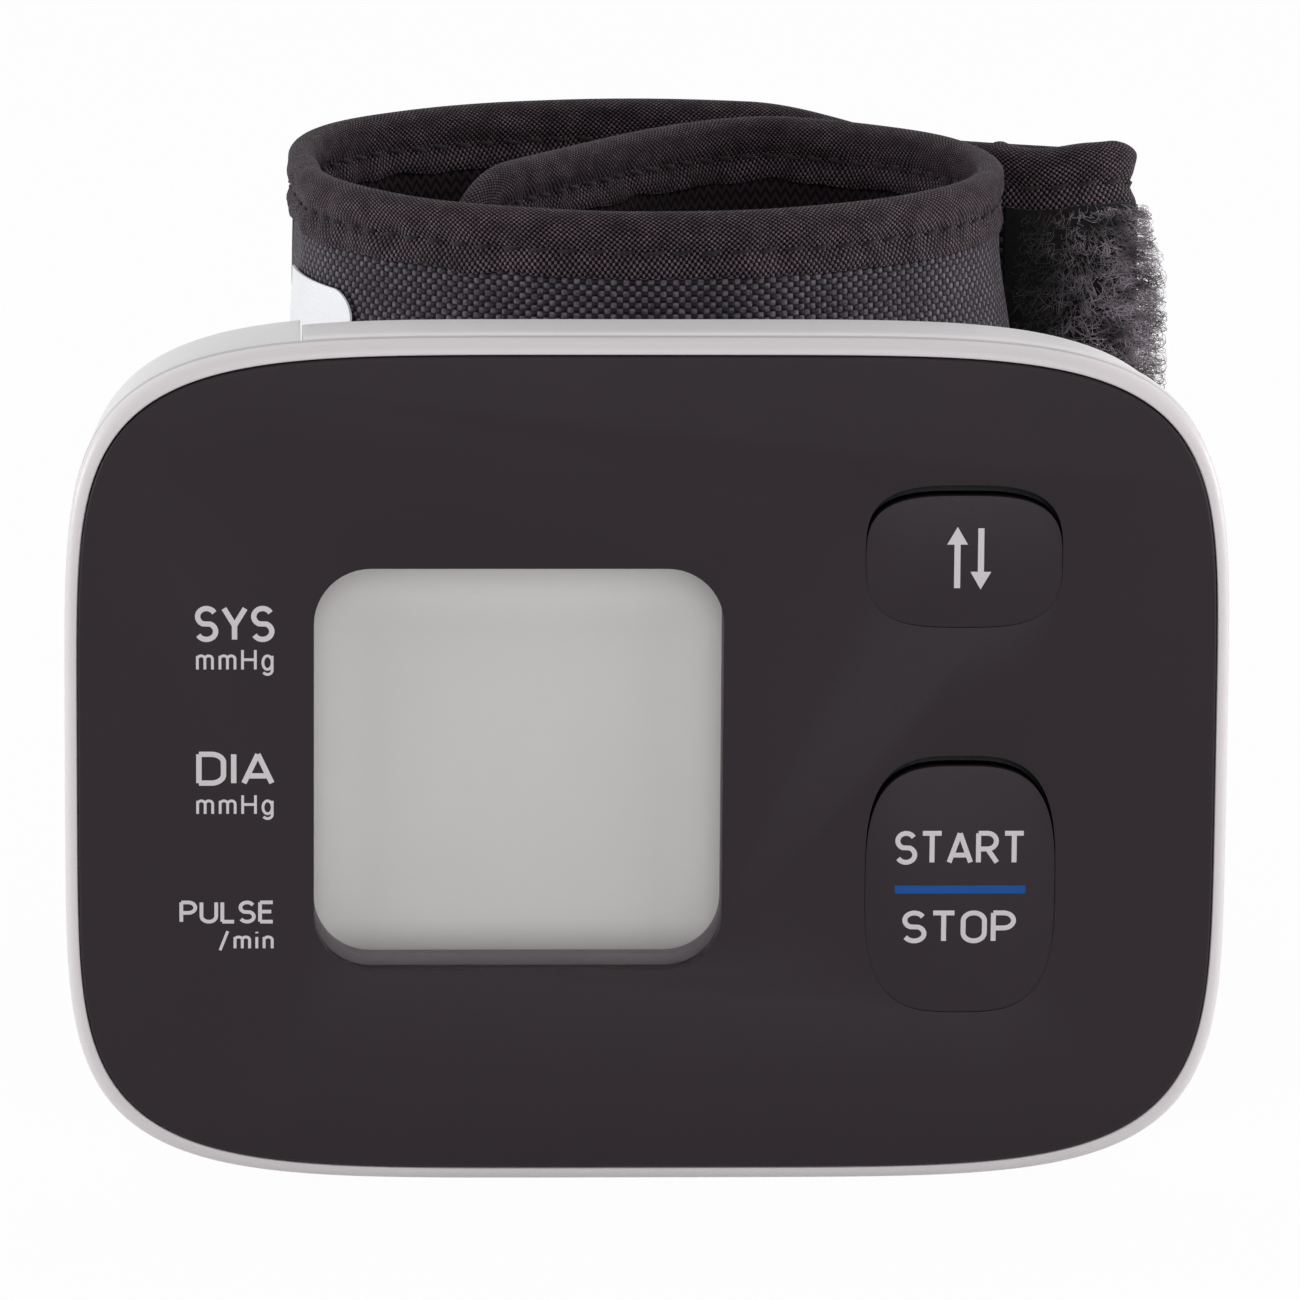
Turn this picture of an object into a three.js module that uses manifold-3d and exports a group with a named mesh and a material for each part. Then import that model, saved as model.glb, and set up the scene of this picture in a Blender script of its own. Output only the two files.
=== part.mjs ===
// Wrist blood pressure monitor: a flat housing with a black front panel, carried by a wound cloth cuff.
// Millimetres. X right, Y away from the viewer, Z up. Built with the panel face at y = 0 and the base at z = 0.
import * as THREE from "three";
import { mergeVertices } from "three/addons/utils/BufferGeometryUtils.js";
import Module from "manifold-3d";

const wasm = await Module();
wasm.setup();

// Housing
const BODY_WIDTH = 84;
const BODY_HEIGHT = 62;
const BODY_DEPTH = 21;
const OUTLINE_EXPONENT = 5.26;
const OUTLINE_POINTS = 40;
const WALL = 1.6;
const RIM_WIDTH = 0.9;
const RIM_ROUND = 0.8;
const RIM_SINK = 0.15;
const FRONT_CASE_DEPTH = 3;
const SHADOW_GAP = 0.5;
const SHADOW_DEPTH = 0.7;
const LEDGE_DEPTH = 0.35;
const BEAD_WIDTH = 0.6;
const BEAD_ROUND = 0.3;
const BACK_ROUND = 8.5;
const BACK_INSET = 5.2;
const BACK_DRAFT = 0.5;
const TONGUE_REACH = 1.5;
const TONGUE_THICKNESS = 1;
const SEAM = 0.15;
const SEAT_GAP = 0.3;

// Front panel and display
const PANEL_THICKNESS = 1.6;
const PANEL_BEVEL = 0.25;
const WINDOW_WIDTH = 29.5;
const WINDOW_HEIGHT = 29.7;
const WINDOW_CORNER = 3.6;
const WINDOW_TO_BUTTONS = 32;
const WINDOW_RISE = -0.35;
const LENS_LIP = 1.1;
const LENS_THICKNESS = 1.2;
const HOLDER_RIM = 2.5;
const HOLDER_FRONT = 1.4;
const GLASS_LIP = 1.4;
const GLASS_THICKNESS = 2;
const CONTACT_STRIP_WIDTH = 3;
const CONTACT_STRIP_LENGTH = 28;

// Buttons and switches
const BUTTON_END = 19.3;
const START_WIDTH = 13.8;
const START_HEIGHT = 19.1;
const START_CORNER = 5.4;
const START_RISE = -8.85;
const TRANSFER_WIDTH = 14.2;
const TRANSFER_HEIGHT = 10.45;
const TRANSFER_CORNER = 4.2;
const TRANSFER_RISE = 15.4;
const BUTTON_GAP = 0.25;
const BUTTON_TOP_GAP = 0.7;
const BUTTON_SINK = 0.1;
const BUTTON_FLANGE = 0.8;
const BUTTON_FLANGE_THICKNESS = 0.7;
const BUTTON_TRAVEL = 0.4;
const STEM_RADIUS = 2;
const SWITCH_SIDE = 6.2;
const SWITCH_HEIGHT = 2.6;
const PLUNGER_RADIUS = 1.5;
const PLUNGER_STAND = 0.7;
const PLUNGER_LENGTH = 1.7;

// Circuit board
const BOARD_THICKNESS = 1.2;
const BOARD_MARGIN = 3.4;
const BOARD_CLEARANCE = 1.1;
const CONTACT_STRIP_HEIGHT = 0.8;
const POST_RADIUS = 1.5;
const POST_X = 14;
const POST_EDGE = 7;
const POST_END = 6;

// Screws and bosses
const SCREW_END = 13;
const SCREW_LEFT_EDGE = 10;
const SCREW_RIGHT_EDGE = 11.7;
const SCREW_BAY_CLEARANCE = 0.4;
const BOSS_RADIUS = 2.4;
const REAR_BOSS_RADIUS = 3;
const BOSS_MEETING = 11;
const SCREW_RADIUS = 0.9;
const SCREW_LENGTH = 6.5;
const SCREW_HEAD_RADIUS = 1.8;
const SCREW_HEAD_HEIGHT = 1.4;
const SLOT_LENGTH = 2.2;
const SLOT_WIDTH = 0.5;
const SLOT_DEPTH = 0.7;
const BOSS_FLOOR = 2;

// Battery bay
const CELL_RADIUS = 5.2;
const CELL_LENGTH = 44.5;
const CELL_NUB_RADIUS = 1.9;
const CELL_NUB_HEIGHT = 0.9;
const CELL_GAP = 0.4;
const CELL_END = 11.4;
const BAY_WALL = 1;
const PLATE_THICKNESS = 0.4;
const PLATE_SIDE = 7;
const SPRING_LENGTH = 3.4;
const SPRING_WIRE = 0.3;
const SPRING_TURNS = 3;
const SPRING_WIDE = 3.1;
const SPRING_NARROW = 2;
const COVER_LENGTH = 17;
const COVER_TONGUE_EDGE = 7.8;
const COVER_TONGUE_DEPTH = 3;
const COVER_CELL_CLEARANCE = 0.2;
const LATCH_WIDTH = 9;
const LATCH_REACH = 1.2;
const LATCH_THICKNESS = 0.6;
const LATCH_ROOT = 2;

// Air parts
const PUMP_END = 24;
const MOTOR_RADIUS = 5.1;
const MOTOR_LENGTH = 17;
const PUMP_HEAD_SIDE = 10;
const PUMP_HEAD_LENGTH = 13;
const PUMP_BASE = 14;
const VALVE_WIDTH = 8;
const VALVE_LENGTH = 14;
const VALVE_BASE = 31;
const SENSOR_SIDE = 6.5;
const SENSOR_HEIGHT = 2.8;
const SENSOR_Z = 15.5;
const TUBE_RADIUS = 1.7;
const TUBE_LEVEL = 9.6;
const NIPPLE_RADIUS = 1.5;
const NIPPLE_Z = 22;
const NIPPLE_REACH = 2.8;

// Cuff
const LOOP_X = 1.4;
const LOOP_WIDTH = 54.4;
const LOOP_DEPTH = 45.1;
const CUFF_WIDTH = 67.5;
const SADDLE_THICKNESS = 1.7;
const SADDLE_WIDTH = 20;
const SADDLE_HEIGHT = 38;
const CLOTH = 0.6;
const EDGE_HALF = 0.8;
const BULGE = 1.1;
const BINDING_WALL = 0.3;
const BINDING_HEIGHT = 4.9;
const INNER_LEAVE = 62;
const INNER_TIP_X = -14.4;
const INNER_TIP_BACK = 15.6;
const INNER_TIP_HEADING = 55;
const INNER_TIP_PULL = 15;
const INNER_JOIN_PULL = 9;
const HINGE_ANGLE = -190;
const FLAP_SEAM = 0.4;
const LIFT_START = -176;
const LIFT_END = -230;
const TAIL_LEAVE = -312;
const TAIL_X = 38.2;
const TAIL_BACK = 35.3;
const TAIL_PULL = 9;
const TAIL_FOLD = 4.3;
const TAIL_END_HEADING = -75;
const TAIL_END_PULL = 4;
const TAIL_END_X = 29.3;
const TAIL_END_BACK = 34.6;
const CURLER_THICKNESS = 0.5;
const BLADDER_THICKNESS = 0.8;
const PAD_MARGIN = 15;
const PILE_THICKNESS = 1.6;
const INNER_PILE_THICKNESS = 0.6;
const HOOK_THICKNESS = 0.5;
const HOOK_WIDTH = 40;
const LABEL_THICKNESS = 0.3;
const LABEL_HEIGHT = 42;

const MID_Z = BODY_HEIGHT / 2;
const LEFT_END = -BODY_WIDTH / 2;
const RIGHT_END = BODY_WIDTH / 2;
const BUTTON_X = RIGHT_END - BUTTON_END;
const WINDOW_X = BUTTON_X - WINDOW_TO_BUTTONS;
const PUMP_X = RIGHT_END - PUMP_END;
const CELL_FIRST_X = LEFT_END + CELL_END;
const CELL_SECOND_X = CELL_FIRST_X + 2 * CELL_RADIUS + CELL_GAP;
const BAY_RIGHT = CELL_SECOND_X + CELL_RADIUS + CELL_GAP;
const COVER_EDGE_X = LEFT_END + COVER_LENGTH;
const COVER_TONGUE_X = CELL_SECOND_X + CELL_RADIUS + COVER_CELL_CLEARANCE;
const COVER_TONGUE_RISE = MID_Z - COVER_TONGUE_EDGE;
const SCREW_LEFT_X = BAY_RIGHT + BAY_WALL + SCREW_BAY_CLEARANCE + REAR_BOSS_RADIUS;
const SCREW_RIGHT_X = RIGHT_END - SCREW_END;
const SCREW_LEFT_RISE = MID_Z - SCREW_LEFT_EDGE;
const SCREW_RIGHT_RISE = MID_Z - SCREW_RIGHT_EDGE;
const BOARD_LEFT = SCREW_LEFT_X + BOSS_RADIUS + BOARD_CLEARANCE;
const POST_RISE = MID_Z - POST_EDGE;
const POST_RIGHT_X = RIGHT_END - POST_END;
const REAR_FRONT = FRONT_CASE_DEPTH + SHADOW_GAP + SEAM;
const ROUND_START = BODY_DEPTH - BACK_ROUND;
const REAR_INNER = BODY_DEPTH - WALL;
const NIPPLE_FRONT = REAR_INNER - NIPPLE_REACH;
const LENS_BACK = PANEL_THICKNESS + LENS_THICKNESS;
const GLASS_FRONT = FRONT_CASE_DEPTH + HOLDER_FRONT;
const BAY_FRONT = GLASS_FRONT + GLASS_THICKNESS + SEAT_GAP;
const BOARD_FRONT = GLASS_FRONT + GLASS_THICKNESS + CONTACT_STRIP_HEIGHT;
const BOARD_BACK = BOARD_FRONT + BOARD_THICKNESS;
const WINDOW_Z = MID_Z + WINDOW_RISE;
const BINDING_HALF = EDGE_HALF + SEAT_GAP + BINDING_WALL;
const CLOTH_HALF = EDGE_HALF + BULGE;
const LAYER_PITCH = CLOTH_HALF + INNER_PILE_THICKNESS + HOOK_THICKNESS + EDGE_HALF + 3 * SEAT_GAP;
const LOOP_FRONT = BODY_DEPTH + SADDLE_THICKNESS + SEAT_GAP;
const PATH_A = LOOP_WIDTH / 2 - BINDING_HALF;
const PATH_B = LOOP_DEPTH / 2 - BINDING_HALF;
const LOOP_Y = LOOP_FRONT + CLOTH_HALF + PATH_B;
const OVERALL_DEPTH = LOOP_Y + PATH_B + LAYER_PITCH + EDGE_HALF + SEAT_GAP + PILE_THICKNESS;

// Solids

function toSolid(geometry) {
  geometry.deleteAttribute("normal");
  geometry.deleteAttribute("uv");
  const merged = mergeVertices(geometry, 1e-5);
  const mesh = new wasm.Mesh({
    numProp: 3,
    vertProperties: new Float32Array(merged.attributes.position.array),
    triVerts: new Uint32Array(merged.index.array),
  });
  return new wasm.Manifold(mesh);
}

function toGeometry(solid) {
  const mesh = solid.getMesh();
  const geometry = new THREE.BufferGeometry();
  geometry.setAttribute("position", new THREE.BufferAttribute(mesh.vertProperties, 3));
  geometry.setIndex(new THREE.BufferAttribute(mesh.triVerts, 1));
  geometry.computeVertexNormals();
  return geometry;
}

function enclosedVolume(points, index) {
  let sum = 0;
  for (let i = 0; i < index.length; i += 3) {
    const [a, b, c] = [points[index[i]], points[index[i + 1]], points[index[i + 2]]];
    sum += a.dot(b.clone().cross(c)) / 6;
  }
  return sum;
}

// A closed body through rings of equal point count; the flat contour closes both ends.
function loft(rings, contour) {
  if (THREE.ShapeUtils.isClockWise(contour)) {
    contour.reverse();
    rings.forEach((ring) => ring.reverse());
  }
  const count = contour.length;
  const points = rings.flat();
  const index = [];
  for (let k = 0; k + 1 < rings.length; k++) {
    for (let i = 0; i < count; i++) {
      const j = (i + 1) % count;
      const [a, b] = [k * count + i, k * count + j];
      index.push(a, a + count, b + count, a, b + count, b);
    }
  }
  const last = (rings.length - 1) * count;
  for (const [a, b, c] of THREE.ShapeUtils.triangulateShape(contour, [])) {
    index.push(a, b, c, last + a, last + c, last + b);
  }
  if (enclosedVolume(points, index) < 0) {
    index.reverse();
  }
  const geometry = new THREE.BufferGeometry().setFromPoints(points);
  geometry.setIndex(index);
  return toSolid(geometry);
}

function box(x0, x1, y0, y1, z0, z1) {
  const geometry = new THREE.BoxGeometry(x1 - x0, y1 - y0, z1 - z0);
  geometry.translate((x0 + x1) / 2, (y0 + y1) / 2, (z0 + z1) / 2);
  return toSolid(geometry);
}

function rod(start, end, radius, sides = 20, endRadius = radius) {
  const axis = end.clone().sub(start);
  const geometry = new THREE.CylinderGeometry(endRadius, radius, axis.length(), sides);
  const turn = new THREE.Quaternion().setFromUnitVectors(new THREE.Vector3(0, 1, 0), axis.clone().normalize());
  geometry.applyQuaternion(turn);
  geometry.translate((start.x + end.x) / 2, (start.y + end.y) / 2, (start.z + end.z) / 2);
  return toSolid(geometry);
}

function at(x, y, z) {
  return new THREE.Vector3(x, y, z);
}

// A plate between two depths with a round-cornered outline in the X-Z plane.
function roundedPlate(x, z, width, height, corner, y0, y1) {
  const shape = new THREE.Shape();
  const [w, h] = [width / 2 - corner, height / 2 - corner];
  shape.absarc(w, h, corner, 0, Math.PI / 2);
  shape.absarc(-w, h, corner, Math.PI / 2, Math.PI);
  shape.absarc(-w, -h, corner, Math.PI, 1.5 * Math.PI);
  shape.absarc(w, -h, corner, 1.5 * Math.PI, 2 * Math.PI);
  const geometry = new THREE.ExtrudeGeometry(shape, { depth: y1 - y0, bevelEnabled: false, curveSegments: 4 });
  geometry.rotateX(Math.PI / 2);
  geometry.translate(x, y1, z);
  return toSolid(geometry);
}

// Housing outline: a superellipse with flat facets at the middle of each side.
function outline(inset) {
  const power = 2 / OUTLINE_EXPONENT;
  const widest = Math.cos(Math.PI / OUTLINE_POINTS) ** power;
  const points = [];
  for (let i = 0; i < OUTLINE_POINTS; i++) {
    const angle = ((i + 0.5) / OUTLINE_POINTS) * 2 * Math.PI;
    const [c, s] = [Math.cos(angle), Math.sin(angle)];
    const x = (BODY_WIDTH / 2 - inset) * Math.sign(c) * Math.abs(c) ** power;
    const z = (BODY_HEIGHT / 2 - inset) * Math.sign(s) * Math.abs(s) ** power;
    points.push(new THREE.Vector2(x / widest, z / widest));
  }
  return points;
}

// Steps are [inset, depth] pairs from front to back.
function housingLoft(steps) {
  const rings = steps.map(([inset, y]) => outline(inset).map((p) => at(p.x, y, MID_Z + p.y)));
  return loft(rings, outline(0));
}

function quarterRound(count, place) {
  const steps = [];
  for (let i = 0; i <= count; i++) {
    const angle = (i / count) * (Math.PI / 2);
    steps.push(place(Math.sin(angle), Math.cos(angle)));
  }
  return steps;
}

const root = new THREE.Group();

function addPiece(name, solid, color, roughness, metalness = 0) {
  const material = new THREE.MeshStandardMaterial({ color, roughness, metalness });
  const mesh = new THREE.Mesh(toGeometry(solid), material);
  mesh.name = name;
  root.add(mesh);
}

const WHITE = 0xe4e3e4;
const BLACK = 0x352f32;
const CAP = 0x3a3437;
const STEEL = 0xb9bbbd;
const NYLON = 0x2b272a;
const TAPE = 0x332e31;

const SCREWS = [
  [SCREW_LEFT_X, MID_Z + SCREW_LEFT_RISE],
  [SCREW_LEFT_X, MID_Z - SCREW_LEFT_RISE],
  [SCREW_RIGHT_X, MID_Z + SCREW_RIGHT_RISE],
  [SCREW_RIGHT_X, MID_Z - SCREW_RIGHT_RISE],
];

const BUTTONS = [
  {
    name: "start",
    z: MID_Z + START_RISE,
    width: START_WIDTH,
    height: START_HEIGHT,
    corner: START_CORNER,
  },
  {
    name: "transfer",
    z: MID_Z + TRANSFER_RISE,
    width: TRANSFER_WIDTH,
    height: TRANSFER_HEIGHT,
    corner: TRANSFER_CORNER,
  },
];

function buttonPlate(button, grow, y0, y1) {
  const [w, h] = [button.width + 2 * grow, button.height + 2 * grow];
  return roundedPlate(BUTTON_X, button.z, w, h, button.corner + grow, y0, y1);
}

function windowPlate(grow, y0, y1) {
  const corner = Math.max(WINDOW_CORNER - Math.abs(grow) / 2, 1);
  return roundedPlate(WINDOW_X, WINDOW_Z, WINDOW_WIDTH + 2 * grow, WINDOW_HEIGHT + 2 * grow, corner, y0, y1);
}

// Front panel
let panel = housingLoft([
  [RIM_WIDTH + SEAM + PANEL_BEVEL, 0],
  [RIM_WIDTH + SEAM, PANEL_BEVEL],
  [RIM_WIDTH + SEAM, PANEL_THICKNESS],
]);
panel = panel.subtract(windowPlate(0, -1, PANEL_THICKNESS + 1));
for (const button of BUTTONS) {
  panel = panel.subtract(buttonPlate(button, 0, -1, PANEL_THICKNESS + 1));
}
addPiece("front_panel", panel, BLACK, 0.45);

// Front case: rim, plate behind the panel, tongue into the rear case, bosses and board posts
const rimSteps = quarterRound(3, (s, c) => [RIM_ROUND * (1 - s), RIM_SINK + RIM_ROUND * (1 - c)]);
const tongueInset = LEDGE_DEPTH + WALL + SEAT_GAP;
const caseBack = FRONT_CASE_DEPTH + SHADOW_GAP;
let frontCase = housingLoft([
  ...rimSteps,
  [0, FRONT_CASE_DEPTH],
  [SHADOW_DEPTH, FRONT_CASE_DEPTH],
  [SHADOW_DEPTH, caseBack],
]);
const tongue = housingLoft([
  [tongueInset, FRONT_CASE_DEPTH],
  [tongueInset, caseBack + TONGUE_REACH],
]);
const caseHollow = housingLoft([
  [tongueInset + TONGUE_THICKNESS, FRONT_CASE_DEPTH],
  [tongueInset + TONGUE_THICKNESS, caseBack + TONGUE_REACH + 1],
]);
const panelPocket = housingLoft([
  [RIM_WIDTH, -1],
  [RIM_WIDTH, PANEL_THICKNESS],
]);
frontCase = frontCase.add(tongue).subtract(caseHollow).subtract(panelPocket);
const POSTS = [
  [POST_X, MID_Z + POST_RISE],
  [POST_X, MID_Z - POST_RISE],
  [POST_RIGHT_X, MID_Z],
];
for (const [x, z] of POSTS) {
  frontCase = frontCase.add(rod(at(x, PANEL_THICKNESS, z), at(x, BOARD_FRONT, z), POST_RADIUS, 12));
}
for (const [x, z] of SCREWS) {
  frontCase = frontCase.add(rod(at(x, PANEL_THICKNESS, z), at(x, BOSS_MEETING, z), BOSS_RADIUS));
  const tip = BOSS_MEETING + BOSS_FLOOR - SCREW_LENGTH - SEAT_GAP;
  frontCase = frontCase.subtract(rod(at(x, tip, z), at(x, BOSS_MEETING + 1, z), SCREW_RADIUS + SEAT_GAP, 12));
}
frontCase = frontCase.subtract(windowPlate(LENS_LIP + SEAM, 0, FRONT_CASE_DEPTH + 1));
for (const button of BUTTONS) {
  frontCase = frontCase.subtract(buttonPlate(button, BUTTON_FLANGE + BUTTON_GAP, 0, FRONT_CASE_DEPTH + 1));
}
addPiece("front_case", frontCase, WHITE, 0.4);

// Rear case and battery cover share one profile; the cover stands proud by the ledge
const rearSteps = quarterRound(4, (s, c) => [
  LEDGE_DEPTH + BACK_DRAFT + BACK_INSET * (1 - c),
  ROUND_START + BACK_ROUND * s,
]);
const rearHollowSteps = quarterRound(4, (s, c) => [
  LEDGE_DEPTH + WALL + BACK_INSET * (1 - c),
  ROUND_START + (BACK_ROUND - WALL) * s,
]);
const coverSteps = quarterRound(4, (s, c) => [
  BACK_DRAFT + (LEDGE_DEPTH + BACK_INSET) * (1 - c),
  ROUND_START + BACK_ROUND * s,
]);
const coverHollowSteps = quarterRound(4, (s, c) => [
  WALL + (LEDGE_DEPTH + BACK_INSET) * (1 - c),
  ROUND_START + (BACK_ROUND - WALL) * s,
]);
const beadBack = REAR_FRONT + BEAD_ROUND + BEAD_WIDTH;
const rearOuter = housingLoft([
  [BEAD_ROUND, REAR_FRONT],
  [0, REAR_FRONT + BEAD_ROUND],
  [0, beadBack],
  [LEDGE_DEPTH, beadBack + BEAD_ROUND],
  ...rearSteps,
]);
const rearHollow = housingLoft([[LEDGE_DEPTH + WALL, REAR_FRONT - 1], ...rearHollowSteps]);

const bayLength = CELL_LENGTH + SPRING_LENGTH + SEAT_GAP + PLATE_THICKNESS;
const bayLow = MID_Z - bayLength / 2;
const bayHigh = MID_Z + bayLength / 2;
const cellY = BAY_FRONT + BAY_WALL + SEAT_GAP + CELL_RADIUS;
const coverClear = WALL + LEDGE_DEPTH + SEAT_GAP;
const bayLimit = housingLoft([
  [coverClear, BAY_FRONT],
  ...quarterRound(4, (s, c) => [
    coverClear + BACK_INSET * (1 - c),
    ROUND_START + (BACK_ROUND - WALL - SEAT_GAP) * s,
  ]),
]);
const bayBlock = box(
  -BODY_WIDTH / 2, BAY_RIGHT + BAY_WALL,
  BAY_FRONT, BODY_DEPTH,
  bayLow - BAY_WALL, bayHigh + BAY_WALL,
);
const bayInside = bayLimit.add(rearOuter.intersect(box(
  COVER_EDGE_X + SEAM, BODY_WIDTH,
  0, BODY_DEPTH + 1,
  0, BODY_HEIGHT,
)));
const bayHollow = box(
  -BODY_WIDTH, BAY_RIGHT,
  BAY_FRONT + BAY_WALL, BODY_DEPTH - WALL,
  bayLow, bayHigh,
);

// The end of the housing and a wide tongue on the back that the battery cover takes
function coverRegion(clearance) {
  const end = box(
    -BODY_WIDTH, COVER_EDGE_X + clearance,
    0, BODY_DEPTH + 1,
    -1, BODY_HEIGHT + 1,
  );
  const rise = COVER_TONGUE_RISE + clearance;
  const tongueBox = box(
    -BODY_WIDTH, COVER_TONGUE_X + clearance,
    REAR_INNER - COVER_TONGUE_DEPTH, BODY_DEPTH + 1,
    MID_Z - rise, MID_Z + rise,
  );
  return end.add(tongueBox);
}

// The hook of the cover reaches under the rear wall
function latch(clearance) {
  const back = REAR_INNER - SEAM;
  const half = LATCH_WIDTH / 2 + clearance;
  return box(
    COVER_TONGUE_X - LATCH_ROOT, COVER_TONGUE_X + LATCH_REACH + clearance,
    back - LATCH_THICKNESS - clearance, back + Math.min(clearance, SEAM),
    MID_Z - half, MID_Z + half,
  );
}

let rearCase = rearOuter.subtract(rearHollow);
for (const [x, z] of SCREWS) {
  const meeting = BOSS_MEETING + SEAT_GAP;
  const boss = rod(at(x, meeting, z), at(x, BODY_DEPTH, z), REAR_BOSS_RADIUS);
  rearCase = rearCase.add(boss.intersect(rearOuter));
}
rearCase = rearCase.subtract(coverRegion(SEAM));
rearCase = rearCase.add(bayBlock.intersect(bayInside)).subtract(bayHollow);
rearCase = rearCase.subtract(coverRegion(SEAM).intersect(box(
  -BODY_WIDTH, 0,
  REAR_INNER - COVER_TONGUE_DEPTH, BODY_DEPTH + 1,
  bayLow, bayHigh,
)));
for (const [x, z] of SCREWS) {
  const floor = BOSS_MEETING + BOSS_FLOOR;
  rearCase = rearCase.subtract(rod(at(x, floor, z), at(x, BODY_DEPTH + 1, z), SCREW_HEAD_RADIUS + SEAT_GAP));
  rearCase = rearCase.subtract(rod(at(x, BOSS_MEETING, z), at(x, floor + 1, z), SCREW_RADIUS + SEAT_GAP, 12));
}
const nippleHole = rod(
  at(LOOP_X, NIPPLE_FRONT, NIPPLE_Z),
  at(LOOP_X, LOOP_FRONT + CLOTH_HALF, NIPPLE_Z),
  NIPPLE_RADIUS + SEAT_GAP,
  16,
);
addPiece("rear_case", rearCase.subtract(nippleHole).subtract(latch(SEAT_GAP)), WHITE, 0.45);

const coverOuter = housingLoft([
  [SEAM, FRONT_CASE_DEPTH + SEAM],
  [0, FRONT_CASE_DEPTH + 2 * SEAM],
  ...coverSteps,
]);
const coverHollow = housingLoft([[WALL, 0], ...coverHollowSteps]);
const coverRebate = housingLoft([
  [SHADOW_DEPTH - SEAM, 0],
  [SHADOW_DEPTH - SEAM, caseBack + SEAM],
]);
const latchRoot = box(
  COVER_TONGUE_X - LATCH_ROOT, COVER_TONGUE_X - SEAM,
  REAR_INNER - SEAM - LATCH_THICKNESS, BODY_DEPTH - WALL / 2,
  MID_Z - LATCH_WIDTH / 2, MID_Z + LATCH_WIDTH / 2,
);
let batteryCover = coverOuter.subtract(coverHollow).subtract(coverRebate).intersect(coverRegion(0));
batteryCover = batteryCover.add(latch(0)).add(latchRoot);
addPiece("battery_cover", batteryCover, WHITE, 0.45);

// Case screws
SCREWS.forEach(([x, z], i) => {
  const seat = BOSS_MEETING + BOSS_FLOOR;
  const head = rod(at(x, seat, z), at(x, seat + SCREW_HEAD_HEIGHT, z), SCREW_HEAD_RADIUS, 16);
  const shank = rod(at(x, seat - SCREW_LENGTH, z), at(x, seat + 0.5, z), SCREW_RADIUS, 10);
  const [slotFloor, slotTop] = [seat + SCREW_HEAD_HEIGHT - SLOT_DEPTH, seat + SCREW_HEAD_HEIGHT + 1];
  const [long, thin] = [SLOT_LENGTH / 2, SLOT_WIDTH / 2];
  const slot = box(x - long, x + long, slotFloor, slotTop, z - thin, z + thin);
  const crossSlot = box(x - thin, x + thin, slotFloor, slotTop, z - long, z + long);
  addPiece(`case_screw_${i + 1}`, head.add(shank).subtract(slot).subtract(crossSlot), STEEL, 0.35, 0.9);
});

// Display
addPiece("display_window", windowPlate(LENS_LIP, PANEL_THICKNESS, LENS_BACK), 0xd9dcdc, 0.1);
const glassGrow = GLASS_LIP;
const holder = windowPlate(HOLDER_RIM, FRONT_CASE_DEPTH, GLASS_FRONT + GLASS_THICKNESS)
  .subtract(windowPlate(0, 0, BODY_DEPTH))
  .subtract(windowPlate(glassGrow + SEAM, GLASS_FRONT, BODY_DEPTH));
addPiece("display_holder", holder, 0x5f595c, 0.6);
const glass = windowPlate(glassGrow, GLASS_FRONT, GLASS_FRONT + GLASS_THICKNESS);
addPiece("display_glass", glass, 0xbdbbb9, 0.3);
const stripRight = WINDOW_X + WINDOW_WIDTH / 2 + glassGrow - SEAM;
addPiece("contact_strip", box(
  stripRight - CONTACT_STRIP_WIDTH, stripRight,
  GLASS_FRONT + GLASS_THICKNESS, BOARD_FRONT,
  WINDOW_Z - CONTACT_STRIP_LENGTH / 2, WINDOW_Z + CONTACT_STRIP_LENGTH / 2,
), 0x6a6a70, 0.8);

// Circuit board
let board = housingLoft([
  [LEDGE_DEPTH + BOARD_MARGIN, BOARD_FRONT],
  [LEDGE_DEPTH + BOARD_MARGIN, BOARD_BACK],
]);
board = board.intersect(box(BOARD_LEFT, BODY_WIDTH, 0, BODY_DEPTH, 0, BODY_HEIGHT));
for (const [x, z] of SCREWS) {
  board = board.subtract(rod(at(x, 0, z), at(x, BODY_DEPTH, z), BOSS_RADIUS + SEAT_GAP));
}
addPiece("circuit_board", board, 0x2f6b45, 0.5);

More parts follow.
